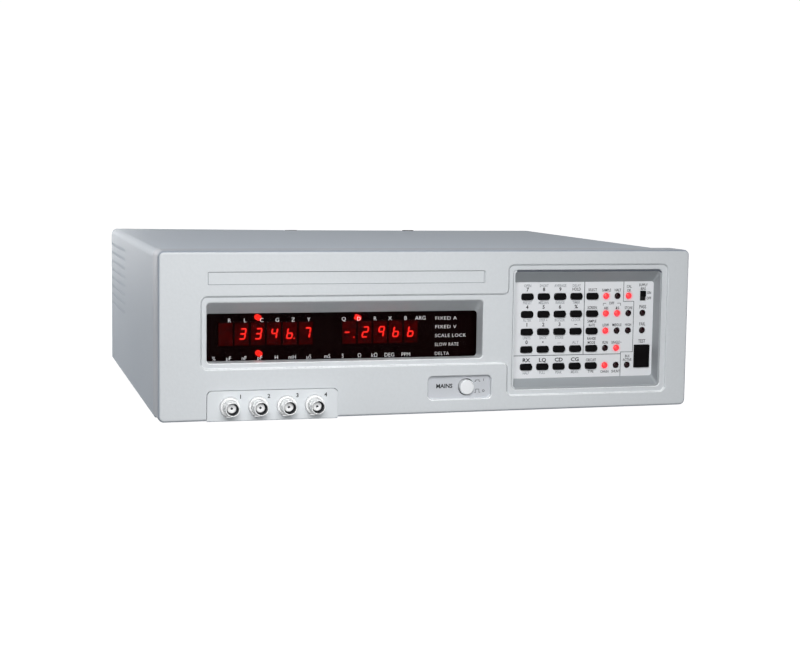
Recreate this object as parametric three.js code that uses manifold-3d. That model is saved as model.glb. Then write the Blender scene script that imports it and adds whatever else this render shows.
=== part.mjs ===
// A bench LCR meter: a wide, low instrument case with a moulded front, a red display window, a recessed
// keypad of small keys, four coaxial test connectors and a push-button mains switch.
// Millimetres, +Z up. X runs along the front from left to right, Y from the front to the back.
// The origin is under the middle of the whole instrument, on the surface that it stands on.
// Places on the front are measured as on a drawing of it: across from the face's left edge, down from
// its top edge, and in from the face's own plane, so a negative depth stands out towards the user.

import * as THREE from 'three';
import { mergeVertices } from 'three/addons/utils/BufferGeometryUtils.js';
import Module from 'manifold-3d';

const wasm = await Module();
wasm.setup();

// Case
const FACE_WIDTH = 375;
const FACE_HEIGHT = 109.5;
const CASE_DEPTH = 320;
const GROUND_CLEARANCE = 4;
const SHEET = 1.2;
const FIT = 0.3;
const OVERRUN = 5;
const LEFT_MARGIN = 31.9;

// Moulded front
const BEZEL_DEPTH = 26;
const BEZEL_WALL = 2.5;
const FACE_THICKNESS = 3.5;
const BEZEL_CORNER = 4;
const BEZEL_EDGE = 2;
const GROOVE_WIDTH = 3;
const SPIGOT_OVERLAP = 8;
const SPIGOT_THICKNESS = 2;
const SPIGOT_ROOT = 5;
const BAND_WIDTH = 3.7;
const BAND_DEPTH = 1.2;
const BAND_CORNER = 4;
const BAND_FILLET = 3.5;
const BOARD_POST_RADIUS = 3;

// Name strip, a shallow bare recess
const STRIP_DOWN = 13.8;
const STRIP_OVERHANG = 1;
const STRIP_HEIGHT = 8.6;
const STRIP_DEPTH = 0.8;
const STRIP_CORNER = 1.5;

// Display opening, whose top wall slopes down to the window
const DISPLAY_DOWN = 33.9;
const DISPLAY_FROM_BOTTOM = 35.4;
const DISPLAY_TO_KEYPAD = 21.8;
const DISPLAY_CORNER = 2.5;
const DISPLAY_DEPTH = 13;
const DISPLAY_TOP_INSET = 8.5;
const DISPLAY_SIDE_INSET = 0.6;
const TUB_WALL = 2;
const WINDOW_THICKNESS = 2.5;
const WINDOW_MARGIN = 2;

// Display board: digit modules and one lamp behind each legend
const BOARD_THICKNESS = 1.6;
const DIGIT_GAP = 1;
const DIGIT_THICKNESS = 7;
const DIGIT_AIR = 1.5;
const LEFT_DIGIT_COUNT = 6;
const RIGHT_DIGIT_COUNT = 5;
const LAMP_SIZE = 3;
// Shares of the window's width, counted from its left edge, and of its height, from its top edge.
const DIGIT_PITCH_SHARE = 0.0581;
const LEFT_DIGITS_SHARE = 0.0771;
const RIGHT_DIGITS_SHARE = 0.5282;
const DIGIT_HEIGHT_SHARE = 0.505;
const DIGITS_DOWN_SHARE = 0.4543;
const UPPER_LAMPS_SHARE = 0.101;
const LOWER_LAMPS_SHARE = 0.8517;
const LAMP_COUNT = 12;
const DISPLAY_BOARD_MARGIN = 9;
const DISPLAY_POST_MARGIN = 5.5;

// Keypad opening, lined by a grey surround with sloping walls
const KEYPAD_FROM_RIGHT = 20.2;
const KEYPAD_DOWN = 13.9;
const KEYPAD_FROM_BOTTOM = 12.8;
const KEYPAD_WIDTH = 110.9;
const KEYPAD_CORNER = 3;
const KEYPAD_DEPTH = 10.9;
const KEYPAD_TOP_INSET = 7.8;
const KEYPAD_BOTTOM_INSET = 5.1;
const KEYPAD_SIDE_INSET = 0.8;
const SURROUND_RIM = 0.9;
const SURROUND_FLANGE = 3;
const SURROUND_WALL = 1.6;
const OVERLAY_THICKNESS = 1.5;
const OVERLAY_MARGIN = 1;
const OVERLAY_CORNER = 1;
const KEYPAD_POST_RADIUS = 2.3;
const KEYPAD_POST_ACROSS = 3.4;
const KEYPAD_POST_DOWN = 3.4;

// Keys
const KEY_COLUMN_COUNT = 5;
const KEY_ROW_COUNT = 5;
const KEY_GAP = 3.6;
const KEY_HEIGHT = 4.3;
const KEY_CORNER = 1.5;
const KEY_EDGE = 0.35;
const KEY_PROUD = 1.5;
const KEY_TRAVEL = 1.2;
const KEY_FLANGE = 0.9;
const KEY_FLANGE_THICKNESS = 0.8;
const KEY_STEM = 3;
const START_WIDTH = 11.4;
const START_HEIGHT = 15.8;
const START_TRAVEL = 1.2;
// Shares of the panel's width, counted from its left edge, and of its height, from its top edge.
const KEY_ACROSS_SHARE = 0.1103;
const KEY_PITCH_SHARE = 0.11377;
const KEY_DOWN_SHARE = 0.1529;
const KEY_ROW_SHARE = 0.18248;
const LED_ACROSS_SHARE = 0.6639;
const LED_PITCH_SHARE = 0.08036;
const STATUS_ACROSS_SHARE = 0.9261;

// Keypad board, with a switch behind each key and the lamps that show through the panel
const KEYPAD_BOARD_BEHIND = 7.6;
const SWITCH_SIZE = 6;
const SWITCH_HEIGHT = 3.5;
const LED_DIAMETER = 4.2;
const LED_PROUD = 0.9;
const KEYPAD_BOARD_MARGIN = 6.4;

// Slide switch at the keypad's top right
const SLIDER_SLOT_WIDTH = 3.9;
const SLIDER_SLOT_HEIGHT = 6.6;
const SLIDER_TRAVEL = 2.8;
const SLIDER_PROUD = 1.2;

// Mains button in its own shallow recess
const POWER_TO_KEYPAD = 15.4;
const POWER_FROM_BOTTOM = 7.6;
const POWER_WIDTH = 45.1;
const POWER_HEIGHT = 15.8;
const POWER_DEPTH = 3;
const POWER_CORNER = 3;
const POWER_WALL = 2;
const BUTTON_FROM_RIGHT = 17.2;
const BUTTON_DIAMETER = 10.3;
const BUTTON_GAP = 0.7;
const BUTTON_EDGE = 0.8;
const BUTTON_PROUD = 3.4;
const BUTTON_LENGTH = 12;
const BUTTON_STEM_DIAMETER = 5;
const BUTTON_STEM = 12;
const BUTTON_IN = 1;
const POWER_SWITCH_WIDTH = 15;
const POWER_SWITCH_HEIGHT = 13;
const POWER_SWITCH_LENGTH = 24;

// Connector plate with four coaxial jacks
const PLATE_HEIGHT = 17.25;
const PLATE_GAP = 0.5;
const PLATE_PROUD = 1;
const PLATE_THICKNESS = 2.2;
const PLATE_DROP = 2.35;
const PLATE_CORNER = 3.5;
const JACK_COUNT = 4;
const JACK_PITCH = 19.05;
const JACK_FROM_LEFT = 15;
const JACK_FROM_RIGHT = 15.85;
const JACK_RISE = 6.65;
const JACK_RADIUS = 4.8;
const JACK_WALL = 0.75;
const JACK_BORE_DEPTH = 8.5;
const JACK_PROUD = 12;
const JACK_NOSE_RADIUS = 2.4;
const JACK_NOSE_SETBACK = 1.2;
const JACK_SOCKET_RADIUS = 0.7;
const JACK_SOCKET_DEPTH = 4;
const JACK_NUT_STEP = 1.4;
const JACK_NUT_THICKNESS = 3;
const JACK_TAIL_RADIUS = 1.2;
const JACK_TAIL = 6;
const LUG_RADIUS = 1;
const LUG_PROUD = 0.8;
const LUG_SETBACK = 5;
const LUG_TILT = 0.35;
const COLLAR_WALL = 1.4;
const COLLAR_PROUD = 2.6;
const INSULATOR_THICKNESS = 4;
const INSULATOR_HEIGHT = 14;
const INSULATOR_MARGIN = 9;
const NUT_ROOM = 16;

// Cover and pan
const COVER_INSET = 1.5;
const COVER_CORNER = 5;
const VENT_COUNT = 8;
const VENT_PITCH = 6.85;
const VENT_HEIGHT = 2.2;
const VENT_LENGTH = 96;
const VENT_FROM_REAR = 8;
const VENT_TOP_DOWN = 11.5;
const NOTCH_WIDTH = 11;
const NOTCH_DEPTH = 5;
const LEFT_NOTCH_X = -34.3;
const RIGHT_NOTCH_X = 70;
const LUG_HEIGHT = 0.6;
const PAN_WALL_HEIGHT = 16;
const STANDOFF_RADIUS = 3.5;
const STANDOFF_HEIGHT = 8;
const FLOOR_SLOT_COUNT = 9;
const FLOOR_SLOT_PITCH = 9;
const FLOOR_SLOT_WIDTH = 3;
const FLOOR_SLOT_LENGTH = 60;

// Rear panel and what it carries
const REAR_SETBACK = 4;
const REAR_THICKNESS = 1.5;
const BUMPER_REACH = 10;
const BUMPER_WIDTH = 14;
const BUMPER_HEIGHT = 78;
const BUMPER_FROM_SIDE = 14;
const BUMPER_WAIST = 5;
const INLET_FROM_SIDE = 66;
const INLET_WIDTH = 50;
const INLET_HEIGHT = 28;
const INLET_FLANGE = 2.5;
const INLET_BODY_INSET = 2.5;
const INLET_BODY_DEPTH = 24;
const INLET_RISE = 38;
const SOCKET_WIDTH = 24.2;
const SOCKET_HEIGHT = 16.6;
const SOCKET_DEPTH = 17;
const SOCKET_SIDE = 4;
const PIN_WIDTH = 2;
const PIN_HEIGHT = 4;
const PIN_LENGTH = 12;
const PIN_SPACING = 7;
const PIN_ROW_DROP = 2;
const EARTH_PIN_RISE = 4;
const DRAWER_WIDTH = 10;
const DRAWER_HEIGHT = 16;
const DRAWER_DEPTH = 20;
const DRAWER_LIP = 1;
const DRAWER_LIP_THICKNESS = 2;
const SELECTOR_FROM_INLET = 45;
const SELECTOR_WIDTH = 22;
const SELECTOR_HEIGHT = 12;
const SELECTOR_FLANGE = 1.2;
const SELECTOR_BODY_DEPTH = 9;
const SELECTOR_BODY_INSET = 1.5;
const SELECTOR_SLOT_WIDTH = 13;
const SELECTOR_SLOT_HEIGHT = 7;
const SELECTOR_SLOT_DEPTH = 5;
const SELECTOR_TRAVEL = 5;
const SELECTOR_PROUD = 0.2;
const REAR_VENT_COUNT = 14;
const REAR_VENT_PITCH = 7;
const REAR_VENT_WIDTH = 3;
const REAR_VENT_HEIGHT = 45;
const REAR_VENT_FROM_SIDE = 75;
const REAR_VENT_DOWN = 25;

// Inside
const MAIN_BOARD_FROM_LEFT = 12;
const MAIN_BOARD_FROM_RIGHT = 108;
const MAIN_BOARD_FROM_REAR = 47;
const MAIN_BOARD_FROM_FACE = 58;
const CHIP_WIDTH = 8;
const CHIP_LENGTH = 24;
const CHIP_HEIGHT = 4;
const CHIP_COLUMN_COUNT = 5;
const CHIP_ROW_COUNT = 3;
const CHIP_PITCH_X_SHARE = 0.125;
const CHIP_PITCH_Y_SHARE = 0.205;
const CHIP_MARGIN = 24;
const CAPACITOR_RADIUS = 11;
const CAPACITOR_HEIGHT = 34;
const CAPACITOR_COUNT = 3;
const CAPACITOR_PITCH = 28;
const CORE_WIDTH = 62;
const CORE_DEPTH = 34;
const CORE_HEIGHT = 52;
const COIL_WIDTH = 36;
const COIL_DEPTH = 56;
const COIL_HEIGHT = 34;
const CORE_FOOT = 10;
const CORE_FOOT_THICKNESS = 2;
const TRANSFORMER_FROM_SIDE = 58;
const TRANSFORMER_FROM_REAR = 62;
const SINK_LENGTH = 90;
const SINK_HEIGHT = 42;
const SINK_BASE = 3;
const SINK_FIN = 12;
const SINK_GAP = 12;
const SINK_FIN_COUNT = 7;
const SINK_FIN_THICKNESS = 1.8;
const RIBBON_WIDTH = 30;
const RIBBON_THICKNESS = 1.2;
const RIBBON_SAG = 12;
const KEYPAD_RIBBON_WIDTH = 22;

// Feet and the folding wire leg
const FOOT_WIDTH = 24;
const FOOT_DEPTH = 16;
const FOOT_FROM_SIDE = 42;
const FRONT_FOOT_FROM_FACE = 56;
const REAR_FOOT_FROM_REAR = 30;
const WIRE_RADIUS = 1.6;
const WIRE_COUNT = 8;
const WIRE_GRIP = 10;
const WIRE_REACH = 58;
const WIRE_BEND = 8;
const WIRE_SHOULDER = 12;

// Smoothness: how many steps make a rounded corner or edge, and how many sides a round piece has
const CORNER_COUNT = 3;
const FINE_CORNER_COUNT = 5;
const KEY_CORNER_COUNT = 2;
const EDGE_COUNT = 3;
const ROUND_COUNT = 24;
const SMALL_ROUND_COUNT = 12;
const WELD = 1e-4;

// Places that follow from the sizes
const CASE_BOTTOM = GROUND_CLEARANCE;
const CASE_TOP = CASE_BOTTOM + FACE_HEIGHT;
const FRONT_REACH = PLATE_PROUD + JACK_PROUD;
const FACE_Y = (FRONT_REACH - CASE_DEPTH - BUMPER_REACH) / 2;
const acrossToX = (across) => across - FACE_WIDTH / 2;
const downToZ = (down) => CASE_TOP - down;
const depthToY = (depth) => FACE_Y + depth;
const REAR_Y = depthToY(CASE_DEPTH);
const COVER_TOP = CASE_TOP - COVER_INSET;
const COVER_SIDE = FACE_WIDTH / 2 - COVER_INSET;
const COVER_FRONT = depthToY(BEZEL_DEPTH + GROOVE_WIDTH);
const SPIGOT_INSET = COVER_INSET + SHEET + FIT;
const SPIGOT_END = depthToY(BEZEL_DEPTH + GROOVE_WIDTH + SPIGOT_OVERLAP);
const PAN_BOTTOM = CASE_BOTTOM + COVER_INSET;
const PAN_TOP = PAN_BOTTOM + SHEET;
const PAN_SIDE = COVER_SIDE - SHEET - FIT;
const PAN_FRONT = SPIGOT_END + FIT;
const FOOT_X = FACE_WIDTH / 2 - FOOT_FROM_SIDE;
const REAR_FACE = REAR_Y - REAR_SETBACK;
const REAR_INNER = REAR_FACE - REAR_THICKNESS;
const OVERLAY_BACK = KEYPAD_DEPTH + OVERLAY_THICKNESS;
const KEYPAD_BOARD_FRONT = OVERLAY_BACK + KEYPAD_BOARD_BEHIND;
const SWITCH_FRONT = KEYPAD_BOARD_FRONT - SWITCH_HEIGHT;
const WINDOW_FRONT = DISPLAY_DEPTH + FIT;
const WINDOW_BACK = WINDOW_FRONT + WINDOW_THICKNESS;
const DIGIT_FRONT = WINDOW_BACK + DIGIT_AIR;
const DISPLAY_BOARD_FRONT = DIGIT_FRONT + DIGIT_THICKNESS;
const MAIN_BOARD_BOTTOM = PAN_TOP + STANDOFF_HEIGHT + FIT;
const MAIN_BOARD_TOP = MAIN_BOARD_BOTTOM + BOARD_THICKNESS;
const MAIN_BOARD_LEFT = -PAN_SIDE + MAIN_BOARD_FROM_LEFT;
const MAIN_BOARD_WIDTH = 2 * PAN_SIDE - MAIN_BOARD_FROM_LEFT - MAIN_BOARD_FROM_RIGHT;
const MAIN_BOARD_DEPTH = CASE_DEPTH - MAIN_BOARD_FROM_FACE - MAIN_BOARD_FROM_REAR;
const INLET_X = -COVER_SIDE + INLET_FROM_SIDE;
const INLET_Z = PAN_BOTTOM + INLET_RISE;
const SELECTOR_X = INLET_X + SELECTOR_FROM_INLET;
const TRANSFORMER_X = COVER_SIDE - TRANSFORMER_FROM_SIDE;
const KEYPAD_RIGHT = FACE_WIDTH - KEYPAD_FROM_RIGHT;
const KEYPAD_LEFT = KEYPAD_RIGHT - KEYPAD_WIDTH;
const DISPLAY_RIGHT = KEYPAD_LEFT - DISPLAY_TO_KEYPAD;
const POWER_RIGHT = KEYPAD_LEFT - POWER_TO_KEYPAD;
const PLATE_WIDTH = JACK_FROM_LEFT + (JACK_COUNT - 1) * JACK_PITCH + JACK_FROM_RIGHT;
const MAIN_BOARD_FRONT = depthToY(MAIN_BOARD_FROM_FACE);
const COLLAR_RADIUS = JACK_RADIUS + FIT + COLLAR_WALL;
const JACK_BORE_RADIUS = JACK_RADIUS - JACK_WALL;
const JACK_Z = CASE_BOTTOM + JACK_RISE;
const PLATE_BACK = PLATE_THICKNESS - PLATE_PROUD;
const INSULATOR_FRONT = PLATE_BACK + FIT;
const INSULATOR_BACK = INSULATOR_FRONT + INSULATOR_THICKNESS;

// A closed geometry as a solid that can be cut and joined.
function toSolid(geometry) {
  geometry.deleteAttribute('normal');
  geometry.deleteAttribute('uv');
  const merged = mergeVertices(geometry, WELD);
  return new wasm.Manifold(new wasm.Mesh({
    numProp: 3,
    vertProperties: merged.attributes.position.array,
    triVerts: new Uint32Array(merged.index.array),
  }));
}

// A finished solid as a geometry that a mesh can show.
function toGeometry(solid) {
  const mesh = solid.getMesh();
  const geometry = new THREE.BufferGeometry();
  geometry.setAttribute('position', new THREE.BufferAttribute(mesh.vertProperties, 3));
  geometry.setIndex(new THREE.BufferAttribute(mesh.triVerts, 1));
  geometry.computeVertexNormals();
  return geometry;
}

const joined = (solids) => solids.reduce((sum, solid) => sum.add(solid));

// A plain block between two planes on each axis.
function block(left, right, front, back, bottom, top) {
  const box = new THREE.BoxGeometry(right - left, back - front, top - bottom);
  return toSolid(box.translate((left + right) / 2, (front + back) / 2, (bottom + top) / 2));
}

// A block centred on x and z.
function centredBlock(x, z, width, height, front, back) {
  return block(x - width / 2, x + width / 2, front, back, z - height / 2, z + height / 2);
}

// A round bar along Y.
function bar(x, z, radius, front, back, sides = ROUND_COUNT) {
  const cylinder = new THREE.CylinderGeometry(radius, radius, back - front, sides);
  return toSolid(cylinder.translate(x, (front + back) / 2, z));
}

// A round post along Z.
function post(x, y, radius, bottom, top, sides = ROUND_COUNT) {
  const cylinder = new THREE.CylinderGeometry(radius, radius, top - bottom, sides).rotateX(Math.PI / 2);
  return toSolid(cylinder.translate(x, y, (bottom + top) / 2));
}

// A rectangle with round corners, in X and Z.
function roundedOutline(left, right, bottom, top, radius) {
  const outline = new THREE.Shape();
  outline.absarc(right - radius, top - radius, radius, 0, Math.PI / 2);
  outline.absarc(left + radius, top - radius, radius, Math.PI / 2, Math.PI);
  outline.absarc(left + radius, bottom + radius, radius, Math.PI, 1.5 * Math.PI);
  outline.absarc(right - radius, bottom + radius, radius, 1.5 * Math.PI, 2 * Math.PI);
  return outline;
}

// An outline in X and Z given thickness along Y. An edge rounds both rims and keeps the outline's size.
function slab(outline, front, back, edge = 0, steps = CORNER_COUNT) {
  const geometry = new THREE.ExtrudeGeometry(outline, {
    depth: back - front - 2 * edge,
    bevelEnabled: edge > 0,
    bevelThickness: edge,
    bevelSize: edge,
    bevelOffset: -edge,
    bevelSegments: EDGE_COUNT,
    curveSegments: steps,
  });
  return toSolid(geometry.rotateX(Math.PI / 2).translate(0, back - edge, 0));
}

// A solid between two rounded rectangles of unlike size. Each is [left, right, bottom, top, radius].
function tapered(frontRectangle, backRectangle, front, back) {
  const ring = (rectangle) => roundedOutline(...rectangle).getPoints(CORNER_COUNT);
  const distinct = (points) => points.filter((point, i) => point.distanceTo(points.at(i - 1)) > WELD);
  const frontRing = distinct(ring(frontRectangle));
  const backRing = distinct(ring(backRectangle));
  const count = frontRing.length;
  const positions = [
    ...frontRing.flatMap((point) => [point.x, front, point.y]),
    ...backRing.flatMap((point) => [point.x, back, point.y]),
  ];
  const faces = [];
  for (let i = 0; i < count; i += 1) {
    const next = (i + 1) % count;
    faces.push(i, count + next, next, i, count + i, count + next);
  }
  for (let i = 1; i < count - 1; i += 1) {
    faces.push(0, i, i + 1);
    faces.push(count, count + i + 1, count + i);
  }
  const geometry = new THREE.BufferGeometry();
  geometry.setAttribute('position', new THREE.Float32BufferAttribute(positions, 3));
  geometry.setIndex(faces);
  return toSolid(geometry);
}

// A rectangle's sides, grown outwards by a margin. The corner radius grows with it.
function grown([left, right, bottom, top, radius], margin) {
  return [left - margin, right + margin, bottom - margin, top + margin, radius + margin];
}

// A rectangle on the face as [left, right, bottom, top, radius], from its place on the drawing. Its
// lower edge is given by its height above the face's bottom.
function faceRectangle(left, right, down, fromBottom, radius) {
  return [acrossToX(left), acrossToX(right), CASE_BOTTOM + fromBottom, downToZ(down), radius];
}

const DISPLAY_FRONT_RECTANGLE =
  faceRectangle(LEFT_MARGIN, DISPLAY_RIGHT, DISPLAY_DOWN, DISPLAY_FROM_BOTTOM, DISPLAY_CORNER);
const DISPLAY_BACK_RECTANGLE = [
  DISPLAY_FRONT_RECTANGLE[0] + DISPLAY_SIDE_INSET,
  DISPLAY_FRONT_RECTANGLE[1] - DISPLAY_SIDE_INSET,
  DISPLAY_FRONT_RECTANGLE[2],
  DISPLAY_FRONT_RECTANGLE[3] - DISPLAY_TOP_INSET,
  DISPLAY_CORNER,
];
const KEYPAD_HOLE =
  faceRectangle(KEYPAD_LEFT, KEYPAD_RIGHT, KEYPAD_DOWN, KEYPAD_FROM_BOTTOM, KEYPAD_CORNER);
const SURROUND_NOSE = grown(KEYPAD_HOLE, -FIT);
const SURROUND_MOUTH = grown(SURROUND_NOSE, -SURROUND_RIM);
const SURROUND_FLOOR = [
  SURROUND_MOUTH[0] + KEYPAD_SIDE_INSET,
  SURROUND_MOUTH[1] - KEYPAD_SIDE_INSET,
  SURROUND_MOUTH[2] + KEYPAD_BOTTOM_INSET,
  SURROUND_MOUTH[3] - KEYPAD_TOP_INSET,
  SURROUND_MOUTH[4],
];
const POWER_RECTANGLE = [
  acrossToX(POWER_RIGHT - POWER_WIDTH),
  acrossToX(POWER_RIGHT),
  CASE_BOTTOM + POWER_FROM_BOTTOM,
  CASE_BOTTOM + POWER_FROM_BOTTOM + POWER_HEIGHT,
  POWER_CORNER,
];
const PLATE_RECTANGLE = [
  acrossToX(LEFT_MARGIN),
  acrossToX(LEFT_MARGIN + PLATE_WIDTH),
  CASE_BOTTOM - PLATE_DROP,
  CASE_BOTTOM + PLATE_HEIGHT,
  PLATE_CORNER,
];
const BUTTON_X = POWER_RECTANGLE[1] - BUTTON_FROM_RIGHT;
const BUTTON_Z = (POWER_RECTANGLE[2] + POWER_RECTANGLE[3]) / 2;
const PANEL_WIDTH = SURROUND_FLOOR[1] - SURROUND_FLOOR[0];
const PANEL_HEIGHT = SURROUND_FLOOR[3] - SURROUND_FLOOR[2];
const KEY_PITCH = PANEL_WIDTH * KEY_PITCH_SHARE;
const KEY_WIDTH = KEY_PITCH - KEY_GAP;
const panelX = (share) => SURROUND_FLOOR[0] + PANEL_WIDTH * share;
const keyX = (column) => panelX(KEY_ACROSS_SHARE + column * KEY_PITCH_SHARE);
const keyZ = (row) => SURROUND_FLOOR[3] - PANEL_HEIGHT * (KEY_DOWN_SHARE + row * KEY_ROW_SHARE);
const ledX = (column) => panelX(LED_ACROSS_SHARE + column * LED_PITCH_SHARE);
const STATUS_X = panelX(STATUS_ACROSS_SHARE);
const jackX = (index) => acrossToX(LEFT_MARGIN + JACK_FROM_LEFT + index * JACK_PITCH);

// The lamps on the keypad: three columns beside the keys, two of them short, and two status lamps.
const LED_SITES = [
  [ledX(0), 0], [ledX(1), 0], [ledX(2), 0],
  [ledX(0), 1], [ledX(1), 1], [ledX(2), 1],
  [ledX(0), 2], [ledX(1), 2], [ledX(2), 2],
  [ledX(0), 3], [ledX(1), 3],
  [ledX(0), 4], [ledX(1), 4], [ledX(2), 4],
  [STATUS_X, 1], [STATUS_X, 2],
];
const KEY_SITES = [];
for (let row = 0; row < KEY_ROW_COUNT; row += 1) {
  for (let column = 0; column < KEY_COLUMN_COUNT; column += 1) KEY_SITES.push([keyX(column), keyZ(row)]);
}
const START_Z = (keyZ(KEY_ROW_COUNT - 2) + keyZ(KEY_ROW_COUNT - 1)) / 2;
const SLIDER_Z = keyZ(0);

const finish = (color, roughness, metalness = 0) =>
  new THREE.MeshStandardMaterial({ color, roughness, metalness });
const FINISHES = {
  bezel: finish(0xcfd3d6, 0.55),
  cover: finish(0x9aa5ad, 0.5),
  surround: finish(0x8c9296, 0.6),
  overlay: finish(0xdcdfe2, 0.5),
  window: finish(0x2a0204, 0.12),
  keys: finish(0x141518, 0.45),
  button: finish(0xf1f2f4, 0.35),
  plate: finish(0xd5d9dc, 0.4, 0.2),
  insulator: finish(0xf4f4f2, 0.4),
  nickel: finish(0xd9dadb, 0.2, 1),
  board: finish(0x1f5a35, 0.55),
  iron: finish(0x4b4d50, 0.6, 0.4),
  aluminium: finish(0xb9bdc0, 0.4, 0.9),
  black: finish(0x1b1c1e, 0.6),
  rubber: finish(0x26272a, 0.85),
  ribbon: finish(0x9b9ea2, 0.6),
  steel: finish(0xa9adb0, 0.35, 0.9),
};

const instrument = new THREE.Group();

// Names a geometry, gives it its finish and puts it in place.
function place(name, geometry, material, x = 0, y = 0, z = 0) {
  const mesh = new THREE.Mesh(geometry, material);
  mesh.name = name;
  mesh.position.set(x, y, z);
  instrument.add(mesh);
}

// The moulded front: a shell with a rounded rim, a sunken band round both openings, a tub for the
// display, a tub for the mains button and a spigot at the back that the cover slips over.
function frontBezel() {
  const half = FACE_WIDTH / 2;
  const whole = [-half, half, CASE_BOTTOM, CASE_TOP, BEZEL_CORNER];
  const back = depthToY(BEZEL_DEPTH);
  const rounded = slab(
    roundedOutline(...whole), FACE_Y, back + BEZEL_EDGE, BEZEL_EDGE, FINE_CORNER_COUNT,
  );
  const behind = block(
    -half - OVERRUN, half + OVERRUN, back, back + OVERRUN, CASE_BOTTOM - OVERRUN, CASE_TOP + OVERRUN,
  );
  const spigotCorner = COVER_CORNER - SHEET;
  const spigot = slab(
    roundedOutline(...grown(whole, -SPIGOT_INSET).with(4, spigotCorner)), back - SPIGOT_ROOT, SPIGOT_END,
  );
  const hollow = slab(
    roundedOutline(...grown(whole, -BEZEL_WALL)), depthToY(FACE_THICKNESS), back - SPIGOT_ROOT,
  );
  const throat = slab(
    roundedOutline(...grown(whole, -SPIGOT_INSET - SPIGOT_THICKNESS).with(4, spigotCorner)),
    back - SPIGOT_ROOT - OVERRUN, SPIGOT_END + OVERRUN,
  );
  const shell = rounded.subtract(behind).add(spigot).subtract(hollow).subtract(throat);

  const displayTub = tapered(
    grown(DISPLAY_FRONT_RECTANGLE, TUB_WALL), grown(DISPLAY_BACK_RECTANGLE, TUB_WALL),
    depthToY(BAND_DEPTH), depthToY(DISPLAY_DEPTH),
  );
  const powerTub = slab(
    roundedOutline(...grown(POWER_RECTANGLE, POWER_WALL)), depthToY(BAND_DEPTH),
    depthToY(POWER_DEPTH + POWER_WALL),
  );
  const band = slab(bandOutline(), FACE_Y - OVERRUN, depthToY(BAND_DEPTH), 0, FINE_CORNER_COUNT);
  const displayCut = tapered(
    DISPLAY_FRONT_RECTANGLE, DISPLAY_BACK_RECTANGLE, depthToY(BAND_DEPTH), depthToY(DISPLAY_DEPTH),
  );
  const displayMouth = slab(
    roundedOutline(...DISPLAY_FRONT_RECTANGLE), FACE_Y - OVERRUN, depthToY(BAND_DEPTH),
  );
  const keypadHole = slab(
    roundedOutline(...KEYPAD_HOLE), FACE_Y - OVERRUN, depthToY(FACE_THICKNESS + OVERRUN),
  );
  const stripTop = downToZ(STRIP_DOWN);
  const strip = slab(
    roundedOutline(
      DISPLAY_FRONT_RECTANGLE[0], DISPLAY_FRONT_RECTANGLE[1] + STRIP_OVERHANG, stripTop - STRIP_HEIGHT,
      stripTop, STRIP_CORNER,
    ),
    FACE_Y - OVERRUN, depthToY(STRIP_DEPTH),
  );
  const powerRecess = slab(
    roundedOutline(...POWER_RECTANGLE), FACE_Y - OVERRUN, depthToY(POWER_DEPTH), 0, FINE_CORNER_COUNT,
  );
  const buttonHole = bar(
    BUTTON_X, BUTTON_Z, BUTTON_DIAMETER / 2 + BUTTON_GAP, FACE_Y,
    depthToY(POWER_DEPTH + POWER_WALL + OVERRUN),
  );
  const plateNotch = slab(
    roundedOutline(
      PLATE_RECTANGLE[0] - PLATE_GAP, PLATE_RECTANGLE[1] + PLATE_GAP, CASE_BOTTOM - OVERRUN,
      PLATE_RECTANGLE[3] + PLATE_GAP, PLATE_CORNER,
    ),
    FACE_Y - OVERRUN, depthToY(FACE_THICKNESS + FIT), 0, FINE_CORNER_COUNT,
  );
  const plateRelief = block(
    PLATE_RECTANGLE[0], PLATE_RECTANGLE[1], depthToY(FACE_THICKNESS), depthToY(NUT_ROOM),
    CASE_BOTTOM - OVERRUN, CASE_BOTTOM + PLATE_HEIGHT,
  );
  const cuts = [
    band, displayMouth, displayCut, keypadHole, strip, powerRecess, buttonHole, plateNotch, plateRelief,
  ];
  return joined([shell, displayTub, powerTub, ...boardPosts()]).subtract(joined(cuts));
}

// The sunken band's outline: a low part round the display that runs into a tall one round the keypad.
function bandOutline() {
  const [left, , lowBottom, lowTop] = grown(DISPLAY_FRONT_RECTANGLE, BAND_WIDTH);
  const [join, right, bottom, top] = grown(KEYPAD_HOLE, BAND_WIDTH);
  const r = BAND_CORNER;
  const f = BAND_FILLET;
  const quarter = Math.PI / 2;
  const outline = new THREE.Shape();
  outline.absarc(right - r, top - r, r, 0, quarter);
  outline.absarc(join + r, top - r, r, quarter, 2 * quarter);
  outline.absarc(join - f, lowTop + f, f, 0, -quarter, true);
  outline.absarc(left + r, lowTop - r, r, quarter, 2 * quarter);
  outline.absarc(left + r, lowBottom + r, r, 2 * quarter, 3 * quarter);
  outline.absarc(join - f, lowBottom - f, f, quarter, 0, true);
  outline.absarc(join + r, bottom + r, r, 2 * quarter, 3 * quarter);
  outline.absarc(right - r, bottom + r, r, 3 * quarter, 4 * quarter);
  return outline;
}

// Four posts behind the face that carry the display board.
function boardPosts() {
  const [left, right, bottom, top] = grown(DISPLAY_BACK_RECTANGLE, DISPLAY_POST_MARGIN);
  const corners = [[left, bottom], [right, bottom], [left, top], [right, top]];
  return corners.map(([x, z]) => bar(
    x, z, BOARD_POST_RADIUS, depthToY(BAND_DEPTH + FIT), depthToY(DISPLAY_BOARD_FRONT - FIT),
    SMALL_ROUND_COUNT,
  ));
}

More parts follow.
